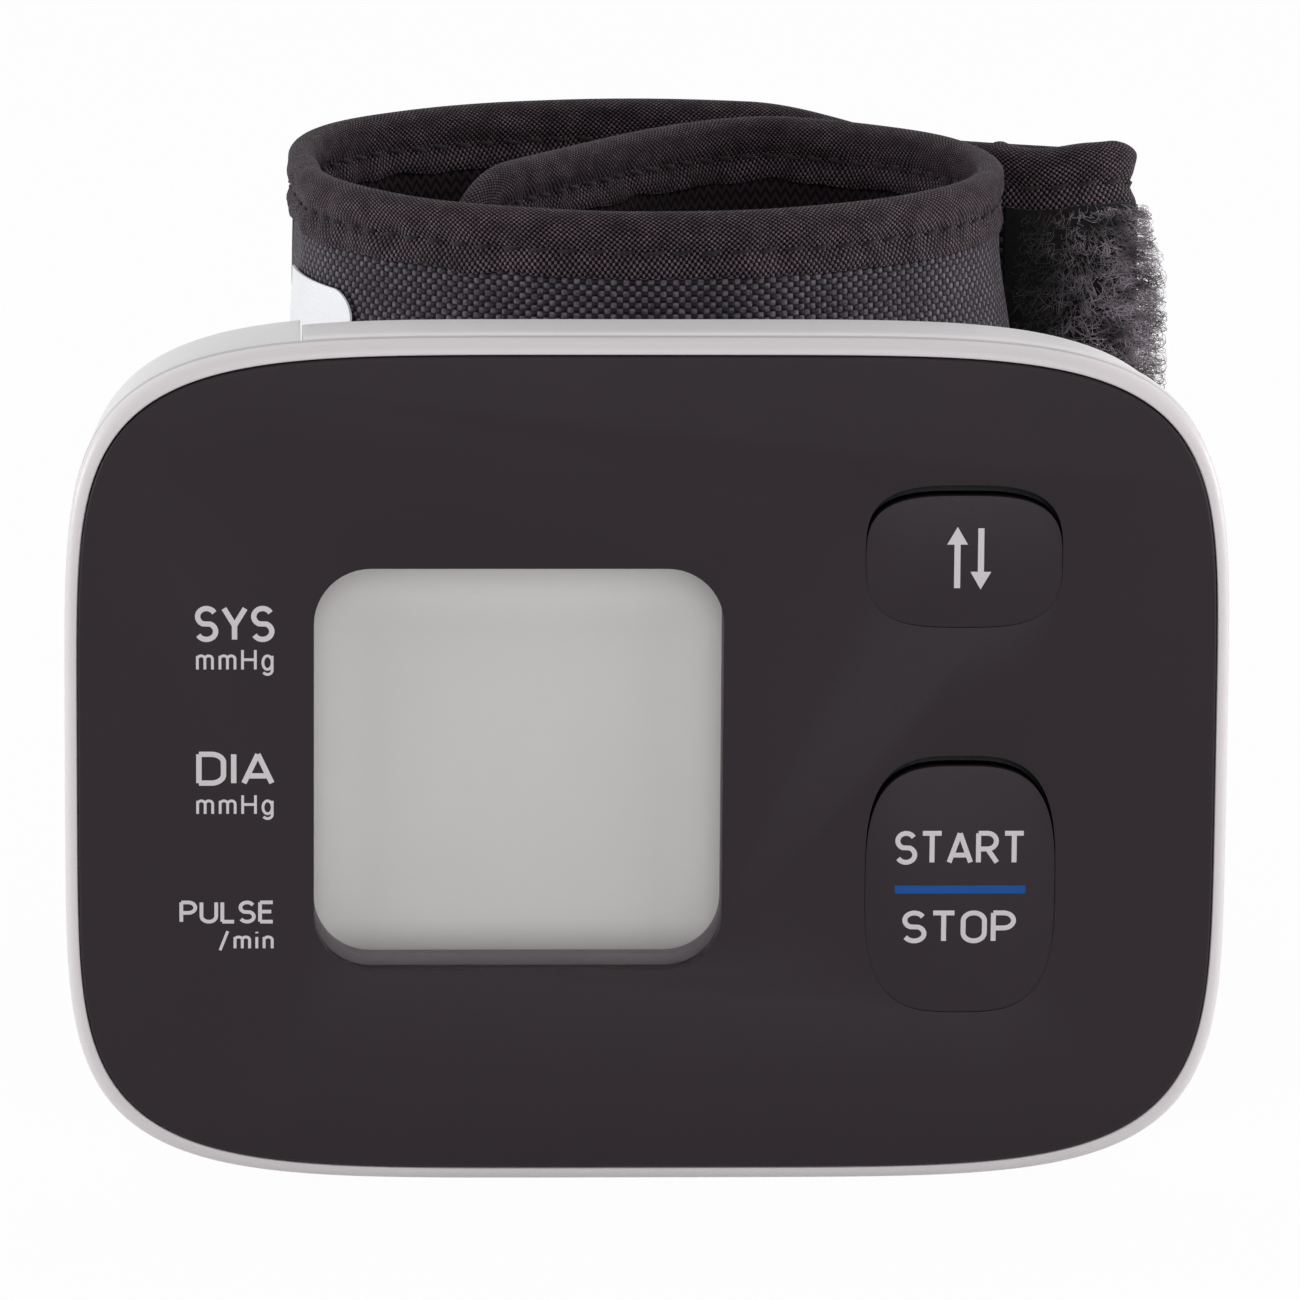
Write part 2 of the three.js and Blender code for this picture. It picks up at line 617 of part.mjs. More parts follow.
// Buttons with their switches
const switchFront = BOARD_FRONT - SWITCH_HEIGHT;
const plungerFront = switchFront - PLUNGER_STAND;
for (const button of BUTTONS) {
  const flangeFront = PANEL_THICKNESS + SEAT_GAP;
  const flangeBack = flangeFront + BUTTON_FLANGE_THICKNESS;
  const capWidth = button.width - 2 * BUTTON_GAP;
  const capHeight = button.height - 2 * BUTTON_GAP - BUTTON_TOP_GAP;
  const capZ = button.z - BUTTON_TOP_GAP / 2;
  const cap = roundedPlate(BUTTON_X, capZ, capWidth, capHeight, button.corner, BUTTON_SINK, flangeBack);
  const flange = buttonPlate(button, BUTTON_FLANGE, flangeFront, flangeBack);
  const stem = rod(at(BUTTON_X, flangeFront, button.z), at(BUTTON_X, plungerFront, button.z), STEM_RADIUS, 16);
  addPiece(`${button.name}_button`, cap.add(flange).add(stem), CAP, 0.45);
  const half = SWITCH_SIDE / 2;
  const body = box(
    BUTTON_X - half, BUTTON_X + half,
    switchFront, BOARD_FRONT,
    button.z - half, button.z + half,
  );
  const boreBack = plungerFront + PLUNGER_LENGTH + BUTTON_TRAVEL + SEAT_GAP;
  const bore = rod(
    at(BUTTON_X, switchFront - 1, button.z),
    at(BUTTON_X, boreBack, button.z),
    PLUNGER_RADIUS + SEAT_GAP,
    16,
  );
  addPiece(`${button.name}_switch`, body.subtract(bore), 0x202022, 0.6);
  const plunger = rod(
    at(BUTTON_X, plungerFront, button.z),
    at(BUTTON_X, plungerFront + PLUNGER_LENGTH, button.z),
    PLUNGER_RADIUS,
    16,
  );
  addPiece(`${button.name}_plunger`, plunger, 0xd8c9a8, 0.6);
}

// Cells and their contacts
function cell(x, base, top) {
  const up = Math.sign(top - base);
  const shoulder = top - up * CELL_NUB_HEIGHT;
  const can = rod(at(x, cellY, base), at(x, cellY, shoulder), CELL_RADIUS, 24);
  return can.add(rod(at(x, cellY, shoulder - up), at(x, cellY, top), CELL_NUB_RADIUS, 16));
}

// A conical wire coil between two heights, wide end at the start
function coil(x, start, end) {
  const steps = SPRING_TURNS * 8;
  const sides = 5;
  const rise = Math.sign(end - start);
  const length = Math.abs(end - start) - 2 * SPRING_WIRE;
  const rings = [];
  for (let i = 0; i <= steps; i++) {
    const along = i / steps;
    const turn = along * SPRING_TURNS * 2 * Math.PI;
    const radius = SPRING_WIDE + (SPRING_NARROW - SPRING_WIDE) * along;
    const level = start + rise * (SPRING_WIRE + length * along);
    const ring = [];
    for (let k = 0; k < sides; k++) {
      const around = (k / sides) * 2 * Math.PI;
      const reach = radius + SPRING_WIRE * Math.cos(around);
      const z = level + SPRING_WIRE * Math.sin(around);
      ring.push(at(x + reach * Math.cos(turn), cellY + reach * Math.sin(turn), z));
    }
    rings.push(ring);
  }
  const contour = rings[0].map((_, k) => {
    const around = (k / sides) * 2 * Math.PI;
    return new THREE.Vector2(Math.cos(around), Math.sin(around));
  });
  return loft(rings, contour);
}

const plateHalf = PLATE_SIDE / 2;
const bridgeLow = bayHigh - PLATE_THICKNESS;
const plateHigh = bayLow + PLATE_THICKNESS;
addPiece("cell_1", cell(CELL_FIRST_X, bridgeLow - CELL_LENGTH, bridgeLow), 0x3d5a80, 0.35, 0.6);
addPiece("cell_2", cell(CELL_SECOND_X, plateHigh + CELL_LENGTH, plateHigh), 0x3d5a80, 0.35, 0.6);
addPiece("coil_contact_1", coil(CELL_FIRST_X, bayLow, bayLow + SPRING_LENGTH), STEEL, 0.35, 0.9);
addPiece("coil_contact_2", coil(CELL_SECOND_X, bridgeLow, bridgeLow - SPRING_LENGTH), STEEL, 0.35, 0.9);
addPiece("positive_plate", box(
  CELL_SECOND_X - plateHalf, CELL_SECOND_X + plateHalf,
  cellY - plateHalf, cellY + plateHalf,
  bayLow, plateHigh,
), STEEL, 0.35, 0.9);
addPiece("bridge_plate", box(
  CELL_FIRST_X - plateHalf, CELL_SECOND_X + plateHalf,
  cellY - plateHalf, cellY + plateHalf,
  bridgeLow, bayHigh,
), STEEL, 0.35, 0.9);

// Pump, valve, sensor and tubes
const pumpY = REAR_INNER - SEAT_GAP - MOTOR_RADIUS;
const motorBase = PUMP_BASE + PUMP_HEAD_LENGTH;
const motor = rod(at(PUMP_X, pumpY, motorBase), at(PUMP_X, pumpY, motorBase + MOTOR_LENGTH), MOTOR_RADIUS, 24);
addPiece("pump_motor", motor, STEEL, 0.4, 0.8);
const headHalf = PUMP_HEAD_SIDE / 2;
const pumpHead = box(
  PUMP_X - headHalf, PUMP_X + headHalf,
  pumpY - headHalf, pumpY + headHalf,
  PUMP_BASE, motorBase,
);
addPiece("pump_head", pumpHead, 0x2a2a2d, 0.55);
const valveHalf = VALVE_WIDTH / 2;
const valveBack = REAR_INNER - SEAT_GAP;
addPiece("release_valve", box(
  LOOP_X - valveHalf, LOOP_X + valveHalf,
  valveBack - VALVE_WIDTH, valveBack,
  VALVE_BASE, VALVE_BASE + VALVE_LENGTH,
), 0x8f9296, 0.4, 0.7);
const sensorHalf = SENSOR_SIDE / 2;
const sensorBack = BOARD_BACK + SENSOR_HEIGHT;
addPiece("pressure_sensor", box(
  LOOP_X - sensorHalf, LOOP_X + sensorHalf,
  BOARD_BACK, sensorBack,
  SENSOR_Z - sensorHalf, SENSOR_Z + sensorHalf,
), 0x1e1e20, 0.6);
const tubes = [
  rod(at(LOOP_X, pumpY, TUBE_LEVEL), at(LOOP_X, pumpY, VALVE_BASE - SEAT_GAP), TUBE_RADIUS, 10),
  rod(at(LOOP_X, pumpY, TUBE_LEVEL), at(PUMP_X, pumpY, TUBE_LEVEL), TUBE_RADIUS, 10),
  rod(at(PUMP_X, pumpY, TUBE_LEVEL), at(PUMP_X, pumpY, PUMP_BASE - SEAT_GAP), TUBE_RADIUS, 10),
  rod(at(LOOP_X, pumpY, SENSOR_Z), at(LOOP_X, sensorBack + SEAT_GAP, SENSOR_Z), TUBE_RADIUS, 10),
  rod(at(LOOP_X, pumpY, NIPPLE_Z), at(LOOP_X, NIPPLE_FRONT - SEAT_GAP, NIPPLE_Z), TUBE_RADIUS, 10),
];
let airTubes = toSolid(new THREE.SphereGeometry(TUBE_RADIUS, 10, 6).translate(LOOP_X, pumpY, TUBE_LEVEL));
airTubes = airTubes.add(toSolid(new THREE.SphereGeometry(TUBE_RADIUS, 10, 6).translate(PUMP_X, pumpY, TUBE_LEVEL)));
for (const tube of tubes) {
  airTubes = airTubes.add(tube);
}
addPiece("air_tubes", airTubes, 0xd8d4cc, 0.5);

// Cuff strip in plan: inner end, one turn round the wrist, lift over the inner end, folded tail

function turnPoint(degrees) {
  const angle = (degrees * Math.PI) / 180;
  const along = THREE.MathUtils.smoothstep(-degrees, -LIFT_START, -LIFT_END);
  const lift = LAYER_PITCH * along;
  const x = LOOP_X + (PATH_A + lift) * Math.cos(angle);
  const y = LOOP_Y + (PATH_B + lift) * Math.sin(angle);
  return new THREE.Vector2(x, y);
}

function turnHeading(degrees) {
  return turnPoint(degrees - 0.5).sub(turnPoint(degrees + 0.5)).normalize();
}

function station(point, heading) {
  return { point, normal: new THREE.Vector2(-heading.y, heading.x) };
}

function turnStations(from, to, count) {
  const list = [];
  for (let i = 0; i <= count; i++) {
    const degrees = from + ((to - from) * i) / count;
    list.push(station(turnPoint(degrees), turnHeading(degrees)));
  }
  return list;
}

function curveStations(curve, count) {
  const list = [];
  for (let i = 0; i <= count; i++) {
    list.push(station(curve.getPoint(i / count), curve.getTangent(i / count)));
  }
  return list;
}

function flat(x, y) {
  return new THREE.Vector2(x, y);
}

function stepFrom(point, heading, distance) {
  return point.clone().addScaledVector(heading, distance);
}

const tipHeading = flat(1, 0).rotateAround(flat(0, 0), THREE.MathUtils.degToRad(INNER_TIP_HEADING));
const innerTip = flat(INNER_TIP_X, BODY_DEPTH + INNER_TIP_BACK);
const innerJoin = turnPoint(INNER_LEAVE);
const innerCurve = new THREE.CubicBezierCurve(
  innerTip,
  stepFrom(innerTip, tipHeading, INNER_TIP_PULL),
  stepFrom(innerJoin, turnHeading(INNER_LEAVE), -INNER_JOIN_PULL),
  innerJoin,
);
const tailStart = turnPoint(TAIL_LEAVE);
const foldPoint = flat(TAIL_X, BODY_DEPTH + TAIL_BACK);
const tailEnd = flat(TAIL_END_X, BODY_DEPTH + TAIL_END_BACK);
const endHeading = flat(1, 0).rotateAround(flat(0, 0), THREE.MathUtils.degToRad(TAIL_END_HEADING));
const tailOut = new THREE.CubicBezierCurve(
  tailStart,
  stepFrom(tailStart, turnHeading(TAIL_LEAVE), TAIL_PULL),
  stepFrom(foldPoint, flat(0, 1), TAIL_FOLD),
  foldPoint,
);
const tailBack = new THREE.CubicBezierCurve(
  foldPoint,
  stepFrom(foldPoint, flat(0, -1), TAIL_FOLD),
  stepFrom(tailEnd, endHeading, TAIL_END_PULL),
  tailEnd,
);
const innerRun = curveStations(innerCurve, 8);
const fixedTurn = turnStations(INNER_LEAVE, HINGE_ANGLE + FLAP_SEAM, 32);
const flapTurn = turnStations(HINGE_ANGLE - FLAP_SEAM, TAIL_LEAVE, 14);
const tailRun = curveStations(tailOut, 6).concat(curveStations(tailBack, 6).slice(1));
const fixedRun = innerRun.concat(fixedTurn.slice(1));
const flapRun = flapTurn.concat(tailRun.slice(1));

// Sweeps a closed section of [outward, height] points along the strip.
function sweep(run, section) {
  const contour = section.map(([n, z]) => flat(n, z));
  const rings = run.map(({ point, normal }) => section.map(([n, z]) => {
    return at(point.x + normal.x * n, point.y + normal.y * n, z);
  }));
  return loft(rings, contour);
}

function band(outer, inner, low, high) {
  return [[outer, low], [outer, high], [inner, high], [inner, low]];
}

// One cloth face of the padded strip; side is 1 for the cover and -1 for the lining.
function paddedFace(side) {
  const low = BINDING_WALL + SEAT_GAP;
  const high = CUFF_WIDTH - low;
  const levels = [
    [low, EDGE_HALF],
    [BINDING_HEIGHT + 1, EDGE_HALF],
    [PAD_MARGIN, CLOTH_HALF],
    [CUFF_WIDTH - PAD_MARGIN, CLOTH_HALF],
    [CUFF_WIDTH - BINDING_HEIGHT - 1, EDGE_HALF],
    [high, EDGE_HALF],
  ];
  const faceOut = levels.map(([z, n]) => [side * n, z]);
  const faceIn = levels.map(([z, n]) => [side * (n - CLOTH), z]).reverse();
  return faceOut.concat(faceIn);
}

function flatFace(side) {
  const low = BINDING_WALL + SEAT_GAP;
  return band(side * EDGE_HALF, side * (EDGE_HALF - CLOTH), low, CUFF_WIDTH - low);
}

// Folded tape over one long edge; up is 1 for the top edge and -1 for the bottom edge.
function bindingSection(up) {
  const edge = up > 0 ? CUFF_WIDTH : 0;
  const inner = EDGE_HALF + SEAT_GAP;
  const profile = [
    [-BINDING_HALF, BINDING_HEIGHT],
    [-BINDING_HALF, BINDING_WALL],
    [-BINDING_HALF / 2, 0],
    [BINDING_HALF / 2, 0],
    [BINDING_HALF, BINDING_WALL],
    [BINDING_HALF, BINDING_HEIGHT],
    [inner, BINDING_HEIGHT],
    [inner, BINDING_WALL],
    [-inner, BINDING_WALL],
    [-inner, BINDING_HEIGHT],
  ];
  return profile.map(([n, depth]) => [n, edge - up * depth]);
}

const padLow = PAD_MARGIN;
const padHigh = CUFF_WIDTH - PAD_MARGIN;
const curlerOuter = CLOTH_HALF - CLOTH - SEAT_GAP;
const curlerInner = curlerOuter - CURLER_THICKNESS;
const bladderOuter = curlerInner - SEAT_GAP;
const bladderInner = bladderOuter - BLADDER_THICKNESS;
const curlerRun = fixedTurn.slice(2, 31);
const bladderRun = fixedTurn.slice(7, 28);

addPiece("cuff_cover", sweep(fixedRun, paddedFace(1)).subtract(nippleHole), NYLON, 0.75);
addPiece("cuff_lining", sweep(fixedRun, paddedFace(-1)), 0x3a3539, 0.85);
addPiece("cuff_binding_top", sweep(fixedRun, bindingSection(1)), TAPE, 0.7);
addPiece("cuff_binding_bottom", sweep(fixedRun, bindingSection(-1)), TAPE, 0.7);
const curler = sweep(curlerRun, band(curlerOuter, curlerInner, padLow, padHigh));
addPiece("cuff_curler", curler.subtract(nippleHole), 0xd5d7d8, 0.5);
addPiece("cuff_bladder", sweep(bladderRun, band(bladderOuter, bladderInner, padLow, padHigh)), 0xa8b0b4, 0.6);
addPiece("flap_cover", sweep(flapRun, flatFace(1)), NYLON, 0.75);
addPiece("flap_lining", sweep(flapRun, flatFace(-1)), 0x3a3539, 0.85);
addPiece("flap_binding_top", sweep(flapRun, bindingSection(1)), TAPE, 0.7);
addPiece("flap_binding_bottom", sweep(flapRun, bindingSection(-1)), TAPE, 0.7);

// Pile, hook patch and label lie on the cloth faces
const pileLow = BINDING_HEIGHT + SEAT_GAP;
const pileHigh = CUFF_WIDTH - pileLow;
const pileInner = EDGE_HALF + SEAT_GAP;
addPiece("flap_pile", sweep(flapRun.slice(4, -2), band(pileInner + PILE_THICKNESS, pileInner, pileLow, pileHigh)),
  0x4a4347, 0.95);
const padPile = CLOTH_HALF + SEAT_GAP;
addPiece("inner_pile", sweep(fixedTurn.slice(0, 7), band(
  padPile + INNER_PILE_THICKNESS, padPile,
  padLow, padHigh,
)), 0x4a4347, 0.95);
const hookOuter = -EDGE_HALF - SEAT_GAP;
addPiece("hook_patch", sweep(flapRun.slice(11, 16), band(
  hookOuter, hookOuter - HOOK_THICKNESS,
  MID_Z - HOOK_WIDTH / 2, MID_Z + HOOK_WIDTH / 2,
)), 0x1f1c1e, 0.8);
const labelInner = CLOTH_HALF + SEAT_GAP;
const labelTop = CUFF_WIDTH - BINDING_HEIGHT - SEAT_GAP;
addPiece("cuff_label", sweep(fixedTurn.slice(26, 31), band(
  labelInner + LABEL_THICKNESS, labelInner,
  labelTop - LABEL_HEIGHT, labelTop,
)), 0xeff1f8, 0.5);

// Saddle between the flat back of the housing and the round cuff, and the nipple of the bladder
const saddleBlock = box(
  LOOP_X - SADDLE_WIDTH / 2, LOOP_X + SADDLE_WIDTH / 2,
  BODY_DEPTH, LOOP_FRONT + PATH_B / 4,
  MID_Z - SADDLE_HEIGHT / 2, MID_Z + SADDLE_HEIGHT / 2,
);
const loopReach = CLOTH_HALF + SEAT_GAP;
const loopCore = sweep(
  turnStations(0, -180, 26),
  band(loopReach, -PATH_B / 2, -1, CUFF_WIDTH + 1),
);
addPiece("cuff_saddle", saddleBlock.subtract(loopCore).subtract(nippleHole), 0x2c2a2c, 0.5);
const nippleBack = LOOP_FRONT + CLOTH_HALF - bladderOuter - SEAT_GAP;
addPiece("air_nipple", rod(
  at(LOOP_X, NIPPLE_FRONT, NIPPLE_Z),
  at(LOOP_X, nippleBack, NIPPLE_Z),
  NIPPLE_RADIUS,
  16,
), 0xd8d4cc, 0.5);

root.position.y = -OVERALL_DEPTH / 2;

export default root;
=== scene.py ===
import math

import bpy
import numpy as np
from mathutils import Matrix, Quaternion, Vector, noise


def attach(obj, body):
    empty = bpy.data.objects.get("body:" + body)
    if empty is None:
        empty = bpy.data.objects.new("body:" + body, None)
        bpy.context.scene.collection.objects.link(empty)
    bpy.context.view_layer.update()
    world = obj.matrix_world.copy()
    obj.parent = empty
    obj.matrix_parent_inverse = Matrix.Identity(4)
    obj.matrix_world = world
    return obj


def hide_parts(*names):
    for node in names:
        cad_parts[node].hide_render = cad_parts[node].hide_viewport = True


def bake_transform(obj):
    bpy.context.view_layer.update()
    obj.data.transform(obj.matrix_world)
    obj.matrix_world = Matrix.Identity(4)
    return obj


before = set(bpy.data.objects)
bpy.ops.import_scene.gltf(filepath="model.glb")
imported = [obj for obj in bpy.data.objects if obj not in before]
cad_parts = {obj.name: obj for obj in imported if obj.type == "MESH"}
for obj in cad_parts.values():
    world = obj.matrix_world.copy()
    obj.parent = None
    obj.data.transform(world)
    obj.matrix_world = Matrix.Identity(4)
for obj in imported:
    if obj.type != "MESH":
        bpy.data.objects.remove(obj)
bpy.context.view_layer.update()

# Sizes in millimetres: x to the right, y from the panel face backwards, z up from the base.
MM = 0.001
# Half of the whole depth, where the frame has its middle.
HALF_DEPTH = 37.3

BODY_WIDTH, BODY_HEIGHT, BODY_DEPTH = 84, 62, 21
MID_Z = BODY_HEIGHT / 2
OUTLINE_POWER = 2 / 5.26
OUTLINE_POINTS, CORNER_STEPS, BOLT_SIDES = 240, 12, 40
WALL = 1.6
RIM_WIDTH, RIM_ROUND, RIM_SINK = 0.9, 0.8, 0.15
RIM_CHAMFER = ((0, 0.12), (0.04, 0.03))
EDGE_BREAK = 0.1
PANEL_GAP = 0.08
# SEAM_SHADE is how far before the shadow gap the painted seam shade on the front case begins.
CASE_DEPTH, SHADOW_GAP, SHADOW_DEPTH, SEAM_SHADE = 3.0, 0.5, 1.1, 0.85
LEDGE, BEAD_WIDTH, BEAD_ROUND, BEAD_BREAK = 0.35, 0.6, 0.3, 0.08
BEAD_FALL = (0.12, 0.2)
REAR_SKIN = 0.4
DOOR_BREAK = (0.03, 0.05)
BACK_ROUND, BACK_INSET, BACK_DRAFT = 8.5, 5.2, 0.5
TONGUE_REACH, TONGUE_WALL = 1.5, 1.0
SEAM, SEAT_GAP = 0.15, 0.3
# How far a cutting shape goes past what it cuts, and how far shapes that are joined overlap.
PAST = 1
OVERLAP = 0.2
REAR_FRONT = CASE_DEPTH + SHADOW_GAP + SEAM
ROUND_START = BODY_DEPTH - BACK_ROUND
REAR_INNER = BODY_DEPTH - WALL

PANEL = 1.6
PANEL_BEVEL = 0.25
WINDOW_X, WINDOW_Z = -9.3, 30.65
WINDOW_WIDTH, WINDOW_HEIGHT, WINDOW_CORNER = 29.5, 29.7, 4.1
LEAST_CORNER = 1
LENS_LIP, LENS_THICKNESS = 1.1, 1.2
HOLDER_RIM, HOLDER_SILL = 2.5, 0.45
GLASS_LIP, GLASS_FRONT, GLASS_BACK = 1.4, 4.4, 6.4

BUTTON_X = 22.7
BUTTON_GAP, BUTTON_TOP_GAP, BUTTON_SINK = 0.02, 0.75, 0.04
# Depths below the panel's face over which the painted shade in the gap round a button comes in.
HOLLOW_DEPTHS = (0.4, 0.9)
BUTTON_POWER = 2 / 3.2
BUTTON_POINTS = 96
BUTTON_FLANGE = 0.8
FLANGE_FRONT, FLANGE_BACK = 1.9, 2.6
PLUNGER_FRONT, PLUNGER_SEAT_RADIUS = 3.9, 2
BUTTONS = {
    "start": (22.15, 13.8, 19.1, 5.4),
    "transfer": (46.4, 14.2, 10.45, 4.2),
}

SCREWS = [(-9.8, 52.0), (-9.8, 10.0), (29.0, 50.3), (29.0, 11.7)]
POSTS = [(14, 55.0), (14, 7.0), (36, 31.0)]
POST_RADIUS = 1.5
BOARD_FRONT = 7.2
BOSS_MEETING, BOSS_FLOOR = 11.0, 2.0
BOSS_RADIUS, REAR_BOSS_RADIUS = 2.4, 3.0
SCREW_RADIUS, SCREW_HEAD_RADIUS = 0.9, 1.8
SCREW_LENGTH = 6.5

BAY_FRONT, BAY_WALL, BAY_RIGHT, BAY_HALF = 6.7, 1.0, -14.2, 24.3
BAY_LOW, BAY_HIGH = MID_Z - BAY_HALF, MID_Z + BAY_HALF
COVER_EDGE_X, COVER_TONGUE_X = -25.0, -14.4
COVER_TONGUE_RISE, COVER_TONGUE_DEPTH = 23.2, 3.0
LATCH_WIDTH, LATCH_REACH, LATCH_THICKNESS, LATCH_ROOT = 9.0, 1.2, 0.6, 2.0
NIPPLE_Z, NIPPLE_HOLE_RADIUS, NIPPLE_HOLE = 22, 1.8, (16, 26)

LOOP_X, LOOP_Y = 1.4, 46.05
PATH_A, PATH_B = 25.8, 21.15
CUFF_WIDTH = 67.5
LAYER_PITCH = 4.7
LIFT_START, LIFT_END = -176, -230
INNER_LEAVE, HINGE_ANGLE, TAIL_LEAVE = 62, -190, -312
TAIL_X, TAIL_BACK, TAIL_END_X, TAIL_END_BACK = 38.2, 35.3, 28.6, 34.9
EDGE_HALF, BULGE = 0.8, 1.1
CLOTH, CLOTH_WIDTH = 0.5, 65.7
END_CORNER, LABEL_CORNER = 9.0, 2.6
TAPE_HALF, TAPE_HEIGHT, TAPE_ROUND, TAPE_WALL = 1.05, 4.9, 0.85, 0.35
TAPE_FOLD_POWER = 1.6
WAIST_WIDTH, WAIST_DEPTH, WAIST_PUCKER = 0.7, 0.32, 0.2
CUT_REACH, CUT_TUCK = 1.6, 0.6
STITCH_DEPTH, STITCH_PITCH, STITCH_LIFT, STITCH_SLANT = 3.1, 2.0, 0.07, 0.16
STITCH_LENGTH, STITCH_THICKNESS = 1.35, 0.34
PAD_SIDE, PAD_SIDE_FULL, PAD_START, PAD_END = 5.6, 15, 9, 16
CLOTH_INSET, CUFF_SHORT, FLAP_SHORT = 0.9, 0.5, 0.3
CLOTH_COLUMNS, CLOTH_ROWS, TAPE_COLUMNS, TAPE_ROWS = 1.4, 44, 2.4, 36
# For the label, the bladder, the pile and the hooks, a turn is degrees round the loop.
LABEL_LENGTH, LABEL_BELOW_TAPE, LABEL_TURN = 42, 3.1, (-144.6, -176)
LABEL_LIFT, LABEL_WANDER, LABEL_THICKNESS, LABEL_STEPS = 0.32, 0.06, 0.2, (60, 90)
BLADDER_TURN, BLADDER_STEPS, BLADDER_THICKNESS = (6.9625, -150.2875), (80, 40), 0.6
BLADDER_CROWN, CROWN_WIDTH, BLADDER_SINK = 0.25, 0.08, 0.05
PILE_COUNT, PILE_HEIGHTS = 4500, (1.9, 1.9, 2.0, 2.3, 2.6, 2.2)
PILE_TURNS, PILE_FOLD = (-225, -258, -290), (-3, 2.5)
PILE_SHORT, PILE_OUT, PILE_END_GAP, TAIL_THINNING = 2.0, 5, 1.2, 1.7
INNER_PILE_END, INNER_PILE_COUNT, INNER_PILE_LIFT = 15, 2200, 0.45
HOOK_TURN, HOOK_PAST, HOOK_HALF, HOOK_COUNT = -286, 4, 20, 1400

# Rounding of the small edges, then the largest angles in degrees between faces that are shaded as one.
PANEL_SOFT, LENS_SOFT, HOLDER_SOFT, BUTTON_SOFT, DOOR_SOFT, BLADDER_SOFT = 0.04, 0.15, 0.1, 0.05, 0.08, 0.2
CASE_SMOOTH, CLOTH_SMOOTH, TAPE_SMOOTH, FINE_SMOOTH, FIBRE_SMOOTH = 24, 40, 50, 60, 80


def frame_y(depth):
    return (depth - HALF_DEPTH) * MM


def place(x, y, z):
    return Vector((x * MM, frame_y(y), z * MM))


def smooth(value, low, high):
    part = min(1.0, max(0.0, (value - low) / (high - low)))
    return part * part * (3 - 2 * part)


# Modelling

def pick(piece):
    bpy.ops.object.select_all(action="DESELECT")
    piece.select_set(True)
    bpy.context.view_layer.objects.active = piece


def added(name, data):
    thing = bpy.data.objects.new(name, data)
    bpy.context.collection.objects.link(thing)
    return thing


def named(name):
    piece = bpy.context.object
    piece.name = name
    piece.data.name = name
    return piece


def draw_face(name, points):
    """A ring drawn through points and filled, left selected in edit mode."""
    bpy.ops.mesh.primitive_circle_add(vertices=len(points), radius=0.01)
    piece = named(name)
    for vertex, point in zip(piece.data.vertices, points):
        vertex.co = point
    bpy.ops.object.mode_set(mode="EDIT")
    bpy.ops.mesh.select_all(action="SELECT")
    bpy.ops.mesh.edge_face_add()
    return piece


def close_shape():
    bpy.ops.mesh.select_all(action="SELECT")
    bpy.ops.mesh.normals_make_consistent(inside=False)
    bpy.ops.object.mode_set(mode="OBJECT")


def pull_face(distance, wider=1.0, taller=1.0, centre=None):
    bpy.ops.mesh.extrude_region_move(TRANSFORM_OT_translate={"value": (0, distance * MM, 0)})
    if centre is not None:
        bpy.ops.transform.resize(value=(wider, 1, taller), center_override=centre)


def slab(name, ring, thickness):
    piece = draw_face(name, ring)
    pull_face(thickness)
    close_shape()
    return piece


def swollen_ring(x, z, half_width, half_height, power, count, depth):
    """A ring with sides that all swell a little, as the outlines of the housing and the buttons do."""
    points = []
    for step in range(count):
        angle = (step + 0.5) / count * 2 * math.pi
        c, s = math.cos(angle), math.sin(angle)
        reach_x = half_width * math.copysign(abs(c) ** power, c)
        reach_z = half_height * math.copysign(abs(s) ** power, s)
        points.append(place(x + reach_x, depth, z + reach_z))
    return points


def housing_ring(inset, depth):
    half_width, half_height = BODY_WIDTH / 2 - inset, BODY_HEIGHT / 2 - inset
    return swollen_ring(0, MID_Z, half_width, half_height, OUTLINE_POWER, OUTLINE_POINTS, depth)


def housing_form(name, steps):
    """The housing's outline pulled through (inset, depth) steps and closed at both ends."""
    inset, depth = steps[0]
    piece = draw_face(name, housing_ring(inset, depth))
    for next_inset, next_depth in steps[1:]:
        wider = (BODY_WIDTH / 2 - next_inset) / (BODY_WIDTH / 2 - inset)
        taller = (BODY_HEIGHT / 2 - next_inset) / (BODY_HEIGHT / 2 - inset)
        centre = place(0, next_depth, MID_Z)
        pull_face(next_depth - depth, wider, taller, centre)
        inset, depth = next_inset, next_depth
    close_shape()
    return piece


def rounding(count, step):
    """What step makes of the sine and cosine of equal parts of a quarter turn."""
    angles = [i / count * math.pi / 2 for i in range(count + 1)]
    return [step(math.sin(angle), math.cos(angle)) for angle in angles]


def plate_ring(x, z, width, height, corner, depth):
    points = []
    for quarter, (side, rise) in enumerate([(1, 1), (-1, 1), (-1, -1), (1, -1)]):
        for i in range(CORNER_STEPS + 1):
            angle = (quarter + i / CORNER_STEPS) * math.pi / 2
            reach_x = side * (width / 2 - corner) + corner * math.cos(angle)
            reach_z = rise * (height / 2 - corner) + corner * math.sin(angle)
            points.append(place(x + reach_x, depth, z + reach_z))
    return points


def plate(name, x, z, width, height, corner, front, back):
    """A round-cornered plate between two depths."""
    return slab(name, plate_ring(x, z, width, height, corner, front), back - front)


def window_plate(name, grow, front, back):
    corner = max(WINDOW_CORNER - abs(grow) / 2, LEAST_CORNER)
    width, height = WINDOW_WIDTH + 2 * grow, WINDOW_HEIGHT + 2 * grow
    return plate(name, WINDOW_X, WINDOW_Z, width, height, corner, front, back)


def cushion(name, x, z, width, height, front, back):
    """A button's swollen outline between two depths."""
    ring = swollen_ring(x, z, width / 2, height / 2, BUTTON_POWER, BUTTON_POINTS, front)
    return slab(name, ring, back - front)


